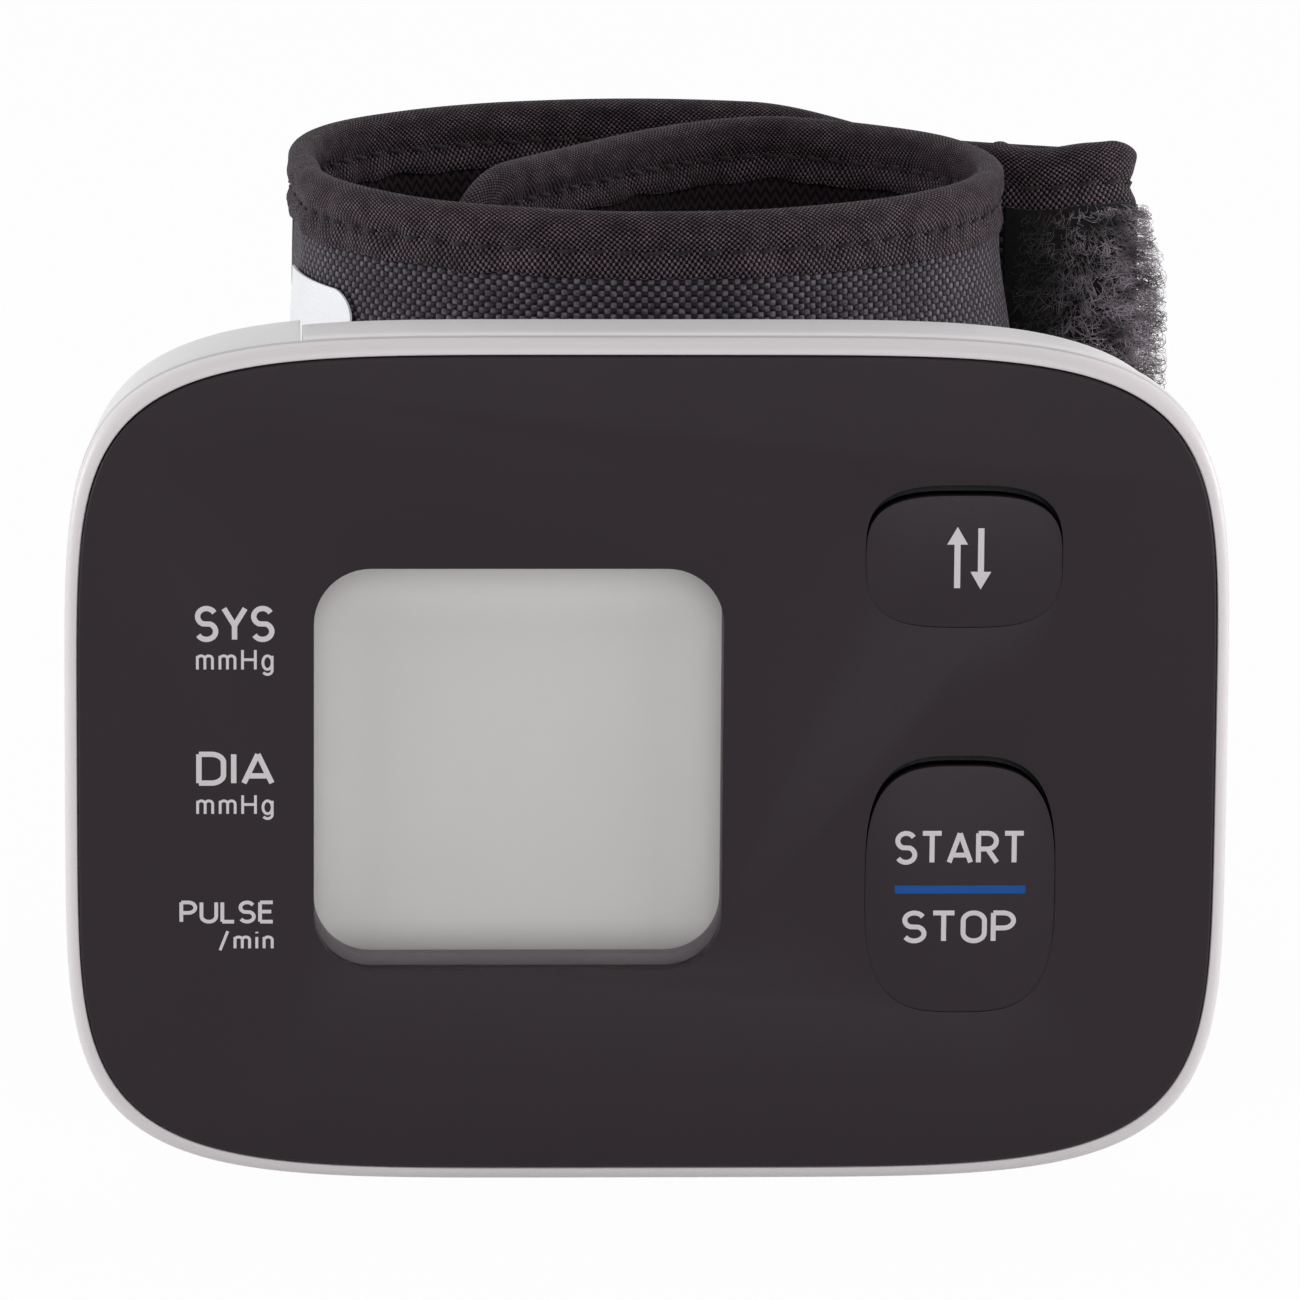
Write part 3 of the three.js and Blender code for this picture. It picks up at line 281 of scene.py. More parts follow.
def button_plate(name, key, grow, front, back):
    z, width, height, corner = BUTTONS[key]
    return plate(name, BUTTON_X, z, width + 2 * grow, height + 2 * grow, corner + grow, front, back)


def block(name, x0, x1, y0, y1, z0, z1):
    centre = place((x0 + x1) / 2, (y0 + y1) / 2, (z0 + z1) / 2)
    scale = ((x1 - x0) * MM, (y1 - y0) * MM, (z1 - z0) * MM)
    bpy.ops.mesh.primitive_cube_add(size=1, location=centre, scale=scale)
    bpy.ops.object.transform_apply(location=True, rotation=True, scale=True)
    return named(name)


def bolt(name, x, z, radius, front, back):
    bpy.ops.mesh.primitive_cylinder_add(
        vertices=BOLT_SIDES, radius=radius * MM, depth=(back - front) * MM,
        location=place(x, (front + back) / 2, z), rotation=(math.pi / 2, 0, 0),
    )
    bpy.ops.object.transform_apply(location=True, rotation=True, scale=True)
    return named(name)


def apply(piece, kind, **settings):
    step = piece.modifiers.new(kind.lower(), kind)
    for key, value in settings.items():
        setattr(step, key, value)
    pick(piece)
    bpy.ops.object.modifier_apply(modifier=step.name)


def carve(piece, tool, operation="DIFFERENCE"):
    apply(piece, "BOOLEAN", object=tool, operation=operation, solver="EXACT")
    bpy.data.objects.remove(tool)


def soften(piece, width, segments=2, angle=50):
    apply(
        piece, "BEVEL", width=width * MM, segments=segments, limit_method="ANGLE",
        angle_limit=math.radians(angle), use_clamp_overlap=True,
    )


def skin(piece, material, angle=CASE_SMOOTH):
    pick(piece)
    bpy.ops.object.shade_smooth_by_angle(angle=math.radians(angle))
    piece.data.materials.clear()
    piece.data.materials.append(material)


def settle(piece, body, slot, *nodes):
    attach(piece, body)
    if nodes:
        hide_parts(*nodes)


# Materials

def tone(code):
    values = [int(code[i:i + 2], 16) / 255 for i in (1, 3, 5)]
    return [v / 12.92 if v <= 0.04045 else ((v + 0.055) / 1.055) ** 2.4 for v in values] + [1.0]


def node(tree, kind, **settings):
    made = tree.nodes.new(kind)
    for key, value in settings.items():
        setattr(made, key, value)
    return made


def wire(tree, source, target):
    if isinstance(source, bpy.types.NodeSocket):
        tree.links.new(source, target)
    else:
        target.default_value = source


def sum_of(tree, operation, first, second=0.0, third=None):
    made = node(tree, "ShaderNodeMath", operation=operation)
    wire(tree, first, made.inputs[0])
    wire(tree, second, made.inputs[1])
    if third is not None:
        wire(tree, third, made.inputs[2])
    return made.outputs[0]


def range_of(tree, value, low, high, to_low=0.0, to_high=1.0):
    made = node(tree, "ShaderNodeMapRange", interpolation_type="SMOOTHSTEP")
    for socket, setting in zip(made.inputs, (value, low, high, to_low, to_high)):
        wire(tree, setting, socket)
    return made.outputs[0]


def mix_tones(tree, factor, first, second):
    made = node(tree, "ShaderNodeMix", data_type="RGBA")
    wire(tree, factor, made.inputs["Factor"])
    wire(tree, first, made.inputs[6])
    wire(tree, second, made.inputs[7])
    return made.outputs[2]


def speckle(tree, vector, scale, detail, roughness=0.5):
    made = node(tree, "ShaderNodeTexNoise")
    wire(tree, vector, made.inputs["Vector"])
    wire(tree, scale, made.inputs["Scale"])
    made.inputs["Detail"].default_value = detail
    made.inputs["Roughness"].default_value = roughness
    return made.outputs["Fac"]


def axes_of(tree, vector):
    split = node(tree, "ShaderNodeSeparateXYZ")
    wire(tree, vector, split.inputs[0])
    return split.outputs


def stretched(tree, vector, scale, turn=0.0):
    mapping = node(tree, "ShaderNodeMapping")
    wire(tree, vector, mapping.inputs["Vector"])
    mapping.inputs["Scale"].default_value = scale
    mapping.inputs["Rotation"].default_value = (0, 0, turn)
    return mapping.outputs[0]


def start_group(name, inputs, outputs):
    tree = bpy.data.node_groups.new(name, "ShaderNodeTree")
    for title, kind in inputs:
        tree.interface.new_socket(title, in_out="INPUT", socket_type=kind)
    for title, kind in outputs:
        tree.interface.new_socket(title, in_out="OUTPUT", socket_type=kind)
    return tree, tree.nodes.new("NodeGroupInput"), tree.nodes.new("NodeGroupOutput")


def moulded_grain_group():
    """Fine spark-eroded grain of moulded plastic, with a slow change of shade."""
    tree, given, result = start_group(
        "moulded_grain",
        [("Vector", "NodeSocketVector"), ("Scale", "NodeSocketFloat")],
        [("Height", "NodeSocketFloat"), ("Shade", "NodeSocketFloat")],
    )
    fine = speckle(tree, given.outputs["Vector"], given.outputs["Scale"], 3.0, 0.6)
    coarse_scale = sum_of(tree, "MULTIPLY", given.outputs["Scale"], 0.02)
    coarse = speckle(tree, given.outputs["Vector"], coarse_scale, 2.0)
    wire(tree, fine, result.inputs["Height"])
    wire(tree, coarse, result.inputs["Shade"])
    return tree


def plain_weave_group():
    """Over and under threads of a plain weave; one cell of the vector is one crossing."""
    tree, given, result = start_group(
        "plain_weave",
        [("Vector", "NodeSocketVector")],
        [("Height", "NodeSocketFloat"), ("Over", "NodeSocketFloat")],
    )
    u, v, _ = axes_of(tree, given.outputs["Vector"])

    def wave(value):
        return sum_of(tree, "SINE", sum_of(tree, "MULTIPLY", value, math.pi))

    over = range_of(tree, sum_of(tree, "MULTIPLY", wave(u), wave(v)), -0.22, 0.16)

    def thread(across, along):
        def hump(value):
            return sum_of(tree, "ABSOLUTE", wave(value))
        arch = sum_of(tree, "MULTIPLY_ADD", hump(along), 0.5, 0.5)
        return sum_of(tree, "MULTIPLY", sum_of(tree, "POWER", hump(across), 0.4), arch)

    mixed = node(tree, "ShaderNodeMix")
    wire(tree, over, mixed.inputs["Factor"])
    wire(tree, thread(v, u), mixed.inputs[2])
    wire(tree, thread(u, v), mixed.inputs[3])
    wire(tree, mixed.outputs[0], result.inputs["Height"])
    wire(tree, over, result.inputs["Over"])
    return tree


def chevron_knit_group():
    """Knitted ribs that run up and down in a zigzag."""
    tree, given, result = start_group(
        "chevron_knit",
        [("Vector", "NodeSocketVector")],
        [("Height", "NodeSocketFloat")],
    )
    u, v, _ = axes_of(tree, given.outputs["Vector"])
    zigzag = sum_of(tree, "PINGPONG", u, 1.0)
    lifted = sum_of(tree, "MULTIPLY_ADD", zigzag, 1.6, v)
    wave = sum_of(tree, "SINE", sum_of(tree, "MULTIPLY", lifted, math.pi))
    wire(tree, sum_of(tree, "MULTIPLY_ADD", wave, 0.5, 0.5), result.inputs["Height"])
    return tree


MOULDED = moulded_grain_group()
WEAVE = plain_weave_group()
CHEVRON = chevron_knit_group()


def use_group(tree, group, **values):
    made = node(tree, "ShaderNodeGroup", node_tree=group)
    for title, value in values.items():
        wire(tree, value, made.inputs[title])
    return made.outputs


def start_material(name, **constants):
    material = bpy.data.materials.new(name)
    material.use_nodes = True
    tree = material.node_tree
    shader = tree.nodes["Principled BSDF"]
    for title, value in constants.items():
        shader.inputs[title.replace("_", " ")].default_value = value
    return material, tree, shader


def own_place(tree):
    return node(tree, "ShaderNodeTexCoord").outputs["Object"]


def own_cloth(tree, length, width, scale, turn=0.0):
    """The piece's own map, in crossings of the given size along and across the cloth."""
    given = node(tree, "ShaderNodeUVMap", uv_map="UVMap")
    return stretched(tree, given.outputs[0], (length / scale, width / scale, 1), turn)


def dress(tree, shader, colour, rough):
    wire(tree, colour, shader.inputs["Base Color"])
    wire(tree, rough, shader.inputs["Roughness"])


def raise_surface(tree, shader, height, strength, distance):
    bump = node(tree, "ShaderNodeBump")
    wire(tree, height, bump.inputs["Height"])
    bump.inputs["Strength"].default_value = strength
    bump.inputs["Distance"].default_value = distance * MM
    wire(tree, bump.outputs[0], shader.inputs["Normal"])


def seam_painted_shade(tree):
    """Painted shade mask: one in the shadow gap between the two halves of the case and just before it,
    nothing elsewhere.
    """
    _, y, _ = axes_of(tree, own_place(tree))
    front, back = frame_y(CASE_DEPTH - SEAM_SHADE), frame_y(CASE_DEPTH + SHADOW_GAP)
    after = range_of(tree, y, front - 0.02 * MM, front + 0.05 * MM)
    before = range_of(tree, y, back + EDGE_BREAK * MM, back)
    return sum_of(tree, "MULTIPLY", after, before)


def hollow_painted_shade(tree):
    """Painted shade mask: nothing on the panel's face, one on what lies down in the gap round a button."""
    _, y, _ = axes_of(tree, own_place(tree))
    return range_of(tree, y, *(frame_y(depth) for depth in HOLLOW_DEPTHS))


def moulded(name, dark, light, rough, grain, strength, seam_shade_tone=None, hollow_shade_tone=None, **constants):
    """Moulded plastic between two near shades, with tones for painted shade in the seam and in the gap round
    a button.
    """
    material, tree, shader = start_material(name, **constants)
    surface = use_group(tree, MOULDED, Vector=own_place(tree), Scale=float(grain))
    shade = mix_tones(tree, surface["Shade"], tone(dark), tone(light))
    # Painted shade in and just before the seam between the two halves of the case.
    if seam_shade_tone:
        shade = mix_tones(tree, seam_painted_shade(tree), shade, tone(seam_shade_tone))
    # Painted shade on the walls of the gap round a button.
    if hollow_shade_tone:
        shade = mix_tones(tree, hollow_painted_shade(tree), shade, tone(hollow_shade_tone))
    dress(tree, shader, shade, range_of(tree, surface["Height"], 0.3, 0.7, rough - 0.05, rough + 0.05))
    raise_surface(tree, shader, surface["Height"], strength, 0.03)
    return material


DRAWN_ALONG = (1, 1, 0.05)


def drawn_metal(name, dark, light, rough):
    """Metal with fine upright drawing lines."""
    material, tree, shader = start_material(name, Metallic=1.0)
    lines = speckle(tree, stretched(tree, own_place(tree), DRAWN_ALONG), 4000.0, 3.0)
    shade = mix_tones(tree, lines, tone(dark), tone(light))
    dress(tree, shader, shade, range_of(tree, lines, 0.3, 0.7, rough - 0.08, rough + 0.1))
    raise_surface(tree, shader, lines, 0.1, 0.02)
    return material


CLOTH_ROUGH = 0.65


def woven(name, deep, under, over, length, width, pitch, depth, gloss, turn=0.0, worn=0.6):
    """Plain weave along the piece's own map: gaps, threads that lie below and threads that lie on top."""
    material, tree, shader = start_material(
        name, Sheen_Weight=0.02, Sheen_Roughness=0.45, Specular_IOR_Level=gloss,
    )
    cloth = own_cloth(tree, length, width, pitch, turn)
    threads = use_group(tree, WEAVE, Vector=cloth)
    uneven = range_of(tree, speckle(tree, cloth, 0.12, 3.0), 0.25, 0.75, worn, 1.0)
    fleck = range_of(tree, speckle(tree, cloth, 1.3, 2.0), 0.3, 0.7, 0.3, 1.0)
    lit = sum_of(tree, "MULTIPLY", threads["Over"], sum_of(tree, "MULTIPLY", uneven, fleck))
    yarn = mix_tones(tree, lit, tone(under), tone(over))
    body = range_of(tree, threads["Height"], 0.1, 0.6)
    rough = range_of(tree, threads["Height"], 0.0, 1.0, CLOTH_ROUGH + 0.2, CLOTH_ROUGH - 0.15)
    dress(tree, shader, mix_tones(tree, body, tone(deep), yarn), rough)
    raise_surface(tree, shader, threads["Height"], 1.0, depth)
    return material


def knitted(name, deep, raised, length, width, pitch, depth):
    material, tree, shader = start_material(
        name, Sheen_Weight=0.02, Sheen_Roughness=0.5, Specular_IOR_Level=0.08,
    )
    cloth = own_cloth(tree, length, width, pitch)
    ribs = use_group(tree, CHEVRON, Vector=cloth)["Height"]
    fleck = speckle(tree, cloth, 2.5, 3.0)
    height = sum_of(tree, "MULTIPLY_ADD", fleck, 0.35, ribs)
    shade = mix_tones(tree, height, tone(deep), tone(raised))
    dress(tree, shader, shade, range_of(tree, ribs, 0.0, 1.0, 0.95, 0.75))
    raise_surface(tree, shader, height, 0.9, depth)
    return material


def napped(name, deep, raised, thin=0.5, full=1.0, stretch=(1, 1, 1), crevice=None):
    """Brushed fibre: patches or rows of shade with fine flecks; a crevice gets a painted shadow, dark at its
    first end.
    """
    material, tree, shader = start_material(
        name, Sheen_Weight=0.1, Sheen_Roughness=0.5, Specular_IOR_Level=0.25,
    )
    rows = stretched(tree, own_place(tree), stretch)
    patches = range_of(tree, speckle(tree, rows, 500.0, 3.0), 0.3, 0.7, thin, full)
    # Painted shadow over the crevice, darkest at its first end.
    if crevice:
        x, _, _ = axes_of(tree, own_place(tree))
        dark, light = (end * MM for end in crevice)
        patches = sum_of(tree, "MULTIPLY", patches, range_of(tree, x, dark, light, 0.06, 1.0))
    flecks = speckle(tree, own_place(tree), 2400.0, 2.0)
    shade = sum_of(tree, "MULTIPLY", sum_of(tree, "MULTIPLY_ADD", flecks, 0.8, 0.3), patches)
    colour = mix_tones(tree, shade, tone(deep), tone(raised))
    dress(tree, shader, colour, range_of(tree, flecks, 0.2, 0.8, 0.7, 0.95))
    raise_surface(tree, shader, flecks, 0.6, 0.2)
    return material


def satin_label():
    material, tree, shader = start_material("label_satin", Sheen_Weight=0.3, Specular_IOR_Level=0.4)
    cloth = own_cloth(tree, 14.0, LABEL_LENGTH, 0.22)
    threads = use_group(tree, WEAVE, Vector=cloth)
    patches = speckle(tree, cloth, 0.05, 2.0)
    shade = mix_tones(tree, patches, tone("#F1F2F8"), tone("#F9FAFD"))
    dress(tree, shader, shade, range_of(tree, threads["Height"], 0.0, 1.0, 0.6, 0.4))
    raise_surface(tree, shader, threads["Height"], 0.5, 0.05)
    return material


# Reaches in millimetres of the painted light at the glass's sides, top and lower part, and of the painted
# shadow at its foot.
SIDE_SHADE, TOP_SHADE, FOOT_SHADE, FOOT_SHADOW = 5, (0.6, 5.5), (-6, 8), (3.0, -1.6)


def display_grey():
    """The blank liquid crystal glass: pale grey, with painted light towards its top, sides and lower part and
    a painted shadow at its foot.
    """
    material, tree, shader = start_material("display_grey", Specular_IOR_Level=0.2)
    spot = own_place(tree)
    x, _, z = axes_of(tree, spot)
    # Painted light: the glass is made lighter near its sides, top and lower part, where the window's walls
    # shade it.
    aside = sum_of(tree, "ABSOLUTE", sum_of(tree, "SUBTRACT", x, WINDOW_X * MM))
    half = WINDOW_WIDTH / 2
    from_side = range_of(tree, aside, half * MM, (half - SIDE_SHADE) * MM)
    top = WINDOW_Z + WINDOW_HEIGHT / 2
    from_top = range_of(tree, z, *((top - below) * MM for below in TOP_SHADE))
    bottom = WINDOW_Z - WINDOW_HEIGHT / 2
    from_bottom = range_of(tree, z, *((bottom + above) * MM for above in FOOT_SHADE))
    middle_shade = sum_of(tree, "MULTIPLY", from_side, sum_of(tree, "MULTIPLY", from_top, from_bottom))
    cells = node(tree, "ShaderNodeTexVoronoi")
    wire(tree, spot, cells.inputs["Vector"])
    cells.inputs["Scale"].default_value = 4000.0
    grain = range_of(tree, cells.outputs["Distance"], 0.0, 0.9, 0.9, 1.0)
    shade = sum_of(tree, "MULTIPLY", middle_shade, grain)
    face = mix_tones(tree, shade, tone("#FAF7F5"), tone("#E2DFDD"))
    # Painted shadow along the glass's foot.
    foot = range_of(tree, z, *((bottom + above) * MM for above in FOOT_SHADOW), 0.0, 0.75)
    colour = mix_tones(tree, foot, face, tone("#050405"))
    dress(tree, shader, colour, range_of(tree, grain, 0.9, 1.0, 0.5, 0.35))
    return material


def clear_lens():
    material, tree, shader = start_material("lens_clear", Specular_IOR_Level=0.35)
    smudge = speckle(tree, own_place(tree), 60.0, 3.0)
    dress(tree, shader, tone("#D9DCDC"), range_of(tree, smudge, 0.3, 0.7, 0.06, 0.12))
    wire(tree, range_of(tree, smudge, 0.3, 0.7, 0.04, 0.06), shader.inputs["Alpha"])
    return material


def circuit_green():
    material, tree, shader = start_material("board_green", Coat_Weight=0.3)
    spot = own_place(tree)
    tracks = node(tree, "ShaderNodeTexBrick")
    wire(tree, spot, tracks.inputs["Vector"])
    tracks.inputs["Scale"].default_value = 260.0
    tracks.inputs["Mortar Size"].default_value = 0.06
    grain = speckle(tree, spot, 3000.0, 2.0)
    ground = mix_tones(tree, grain, tone("#235638"), tone("#2F6B45"))
    colour = mix_tones(tree, tracks.outputs["Fac"], ground, tone("#6E8A4B"))
    dress(tree, shader, colour, range_of(tree, grain, 0.3, 0.7, 0.35, 0.5))
    raise_surface(tree, shader, tracks.outputs["Fac"], 0.3, 0.03)
    return material


BAND_EDGES = {True: (41, 41.4), False: (21, 20.6)}


def cell_wrap(name, top_up):
    """Printed sleeve of a dry cell: dark body, copper band towards the positive end."""
    material, tree, shader = start_material(name, Coat_Weight=0.2)
    spot = own_place(tree)
    _, _, z = axes_of(tree, spot)
    low, high = BAND_EDGES[top_up]
    band = range_of(tree, z, low * MM, high * MM)
    grain = speckle(tree, spot, 1500.0, 2.0)
    copper = mix_tones(tree, grain, tone("#A86F3C"), tone("#BD8350"))
    body = mix_tones(tree, grain, tone("#24272C"), tone("#30343A"))
    dress(tree, shader, mix_tones(tree, band, body, copper), range_of(tree, band, 0.0, 1.0, 0.4, 0.28))
    wire(tree, range_of(tree, band, 0.0, 1.0, 0.1, 0.85), shader.inputs["Metallic"])
    raise_surface(tree, shader, grain, 0.08, 0.02)
    return material


# Lengths that the weaves are scaled to, then tones and weaves of the cloths.
FIXED_LENGTH, FLAP_LENGTH = 143.8, 92.0
FIXED_TAPE, FLAP_TAPE, TAPE_ROUND_LENGTH = 347.4, 92.0, 10.9
NYLON_TONES = ("#030203", "#131014", "#7C707F")
TAPE_TONES = ("#020202", "#060405", "#86747F")
KNIT_TONES = ("#030203", "#2A2227")
PILE_PALE = "#BDB1BB"
PILE_ROWS = {"thin": 0.1, "full": 1.25, "stretch": (0.6, 0.6, 1.4)}
# Where the painted shadow of the crevice beside the loop runs, from darkest to none, in millimetres across.
PILE_CREVICE_SHADOW = (30.5, 37.0)
# Tone of the painted shade in the gap round a button.
PAINTED_HOLLOW_SHADE = "#020202"
NYLON_WEAVE = {"pitch": 0.43, "depth": 0.2, "gloss": 0.15}
TAPE_WEAVE = {"pitch": 0.2, "depth": 0.12, "gloss": 0.06, "turn": 0.1, "worn": 0.5}
KNIT = {"pitch": 0.45, "depth": 0.14}

panel_black = moulded(
    "panel_black", "#271F24", "#2B2328", 0.5, 6000, 0.10, hollow_shade_tone=PAINTED_HOLLOW_SHADE, Specular_IOR_Level=0.2,
)
button_black = moulded(
    "button_black", "#271F24", "#2C2429", 0.46, 6000, 0.10, hollow_shade_tone=PAINTED_HOLLOW_SHADE, Specular_IOR_Level=0.22,
)
# The last tone of the case white is the painted shade in its seam.
shell_white = moulded("shell_white", "#E0DADC", "#E6E0E2", 0.38, 3000, 0.05, "#BBB6B8")
# A lighter copy of the case white on the rear case: painted light on the rear half.
rear_white_lit = moulded("rear_white_lit", "#EFEBED", "#F4F1F3", 0.38, 3000, 0.05)
cover_white = moulded("cover_white", "#E2E1E2", "#E8E7E8", 0.38, 3000, 0.05)
holder_grey = moulded("holder_grey", "#5B5057", "#63585F", 0.6, 4000, 0.1)
print_pale = moulded("print_pale", "#D6D1D4", "#DDD8DB", 0.55, 8000, 0.15)
print_blue = moulded("print_blue", "#0F4E9A", "#1354A3", 0.5, 8000, 0.15, Specular_IOR_Level=0.2)
part_black = moulded("part_black", "#1C1C1E", "#242427", 0.55, 4000, 0.15)
part_pale = moulded("part_pale", "#CDBE9E", "#DACBAB", 0.55, 4000, 0.1)
saddle_black = moulded("saddle_black", "#242124", "#2C292C", 0.55, 3500, 0.2)
rubber_grey = moulded("rubber_grey", "#62626A", "#6E6E76", 0.75, 3000, 0.25)
tube_milky = moulded("tube_milky", "#CFCBC2", "#DCD8CF", 0.5, 2500, 0.1)
sheet_milky = moulded("sheet_milky", "#CDCFD0", "#DADCDD", 0.45, 2500, 0.1)
steel = drawn_metal("steel_drawn", "#9B9DA0", "#C3C5C8", 0.32)
spring_steel = drawn_metal("steel_spring", "#A9ABAD", "#CFD1D3", 0.25)
valve_metal = drawn_metal("valve_plated", "#84878B", "#9EA1A5", 0.4)
nylon = woven("nylon_oxford", *NYLON_TONES, FIXED_LENGTH, CLOTH_WIDTH, **NYLON_WEAVE)
flap_nylon = woven("nylon_flap", *NYLON_TONES, FLAP_LENGTH, CLOTH_WIDTH, **NYLON_WEAVE)
tape_cloth = woven("tape_cloth", *TAPE_TONES, FIXED_TAPE, TAPE_ROUND_LENGTH, **TAPE_WEAVE)
flap_tape = woven("tape_flap", *TAPE_TONES, FLAP_TAPE, TAPE_ROUND_LENGTH, **TAPE_WEAVE)
lining_knit = knitted("lining_knit", *KNIT_TONES, FIXED_LENGTH, CLOTH_WIDTH, **KNIT)
flap_knit = knitted("flap_knit", *KNIT_TONES, FLAP_LENGTH, CLOTH_WIDTH, **KNIT)
pile_fibre = napped("pile_fibre", "#100C0F", PILE_PALE, **PILE_ROWS)
# A darker, shaded copy of the pile fibre, with the painted crevice shadow, for the pile on the tail.
pile_tail_shaded = napped("pile_tail_shaded", "#040303", PILE_PALE, crevice=PILE_CREVICE_SHADOW, **PILE_ROWS)
pile_ground = napped("pile_ground", "#050405", "#0E0B0D")
hook_plastic = napped("hook_plastic", "#141213", "#262224")
thread_dark = napped("thread_dark", "#120F10", "#2A2528")
label_satin = satin_label()


# Housing

def make_panel():
    edge = RIM_WIDTH + PANEL_GAP
    front = rounding(4, lambda s, c: (edge + PANEL_BEVEL * (1 - s), PANEL_BEVEL * (1 - c)))
    piece = housing_form("panel_face", front + [(edge, PANEL)])
    carve(piece, window_plate("tool", 0, -PAST, PANEL + PAST))
    for z, width, height, _ in BUTTONS.values():
        carve(piece, cushion("tool", BUTTON_X, z, width, height, -PAST, PANEL + PAST))
    soften(piece, PANEL_SOFT)
    skin(piece, panel_black)
    settle(piece, "housing", "panel", "front_panel")


def make_front_case():
    tongue = LEDGE + WALL + SEAT_GAP
    back = CASE_DEPTH + SHADOW_GAP
    rim = rounding(8, lambda s, c: (RIM_ROUND * (1 - s), RIM_SINK + RIM_ROUND * (1 - c)))
    piece = housing_form("case_front", [
        (RIM_WIDTH, PANEL),
        *((RIM_WIDTH - inset, RIM_SINK + depth) for inset, depth in RIM_CHAMFER),
        *rim,
        (0, CASE_DEPTH - EDGE_BREAK),
        (EDGE_BREAK, CASE_DEPTH),
        (SHADOW_DEPTH, CASE_DEPTH),
        (SHADOW_DEPTH, back),
        (tongue, back),
        (tongue, back + TONGUE_REACH),
        (tongue + TONGUE_WALL, back + TONGUE_REACH),
        (tongue + TONGUE_WALL, CASE_DEPTH),
    ])
    for x, z in POSTS:
        carve(piece, bolt("tool", x, z, POST_RADIUS, PANEL + OVERLAP, BOARD_FRONT), "UNION")
    for x, z in SCREWS:
        carve(piece, bolt("tool", x, z, BOSS_RADIUS, PANEL + OVERLAP, BOSS_MEETING), "UNION")
        tip = BOSS_MEETING + BOSS_FLOOR - SCREW_LENGTH - SEAT_GAP
        carve(piece, bolt("tool", x, z, SCREW_RADIUS + SEAT_GAP, tip, BOSS_MEETING + PAST))
    carve(piece, window_plate("tool", LENS_LIP + SEAM, 0, CASE_DEPTH + PAST))
    for key in BUTTONS:
        carve(piece, button_plate("tool", key, BUTTON_FLANGE + BUTTON_GAP, 0, CASE_DEPTH + PAST))
    skin(piece, shell_white)
    settle(piece, "housing", "shell", "front_case")


def cover_region(name, clearance):
    region = block(
        name, -BODY_WIDTH, COVER_EDGE_X + clearance, 0, BODY_DEPTH + PAST, -PAST, BODY_HEIGHT + PAST,
    )
    rise = COVER_TONGUE_RISE + clearance
    carve(region, block(
        "tool", -BODY_WIDTH + PAST, COVER_TONGUE_X + clearance,
        REAR_INNER - COVER_TONGUE_DEPTH, BODY_DEPTH + 2 * PAST, MID_Z - rise, MID_Z + rise,
    ), "UNION")
    return region


def tub_corner(side, reach, depth):
    """A tub's rounded back corner for rounding: inset and depth from its side to its flat back."""
    return lambda s, c: (side + reach * (1 - c), ROUND_START + depth * s)


FLAT_STEP = 1.5


def back_shell(name, front_steps, outer, inner):
    """A tub: inside from its floor to the front edge, then the outside to the flat back."""
    outside = rounding(10, outer)
    inside = rounding(10, inner)[::-1]
    inset, depth = inside[0]
    flat_inset, flat_depth = outside[-1]
    return housing_form(name, [
        (inset + FLAT_STEP, depth), *inside, *front_steps, *outside, (flat_inset + FLAT_STEP, flat_depth),
    ])


def make_rear_case():
    bead = REAR_FRONT + BEAD_ROUND + BEAD_WIDTH
    piece = back_shell(
        "case_rear",
        [
            (LEDGE + WALL, REAR_FRONT),
            (BEAD_ROUND, REAR_FRONT),
            (EDGE_BREAK, REAR_FRONT + EDGE_BREAK),
            (0, REAR_FRONT + BEAD_ROUND),
            (0, bead),
            (BEAD_BREAK, bead + BEAD_FALL[0]),
            (LEDGE - BEAD_BREAK, bead + BEAD_FALL[1]),
            (LEDGE, bead + BEAD_ROUND),
        ],
        tub_corner(LEDGE + BACK_DRAFT, BACK_INSET, BACK_ROUND),
        tub_corner(LEDGE + WALL, BACK_INSET, BACK_ROUND - WALL),
    )
    for x, z in SCREWS:
        boss = bolt("tool", x, z, REAR_BOSS_RADIUS, BOSS_MEETING + SEAT_GAP, BODY_DEPTH - REAR_SKIN)
        carve(piece, boss, "UNION")
    carve(piece, cover_region("tool_region", SEAM))
    clear = WALL + LEDGE + SEAT_GAP
    bay = housing_form("tool_bay", [
        (clear, BAY_FRONT),
        *rounding(8, tub_corner(clear, BACK_INSET, BACK_ROUND - WALL - SEAT_GAP)),
    ])
    carve(bay, block(
        "tool", -BODY_WIDTH / 2, BAY_RIGHT + BAY_WALL, BAY_FRONT - PAST, BODY_DEPTH,
        BAY_LOW - BAY_WALL, BAY_HIGH + BAY_WALL,
    ), "INTERSECT")
    carve(piece, bay, "UNION")
    carve(piece, block(
        "tool", -BODY_WIDTH, BAY_RIGHT, BAY_FRONT + BAY_WALL, BODY_DEPTH - WALL, BAY_LOW, BAY_HIGH,
    ))
    for x, z in SCREWS:
        floor = BOSS_MEETING + BOSS_FLOOR
        carve(piece, bolt("tool", x, z, SCREW_HEAD_RADIUS + SEAT_GAP, floor, BODY_DEPTH + PAST))
        carve(piece, bolt("tool", x, z, SCREW_RADIUS + SEAT_GAP, BOSS_MEETING, floor + PAST))
    carve(piece, bolt("tool", LOOP_X, NIPPLE_Z, NIPPLE_HOLE_RADIUS, *NIPPLE_HOLE))
    skin(piece, rear_white_lit)
    settle(piece, "housing", "shell", "rear_case")


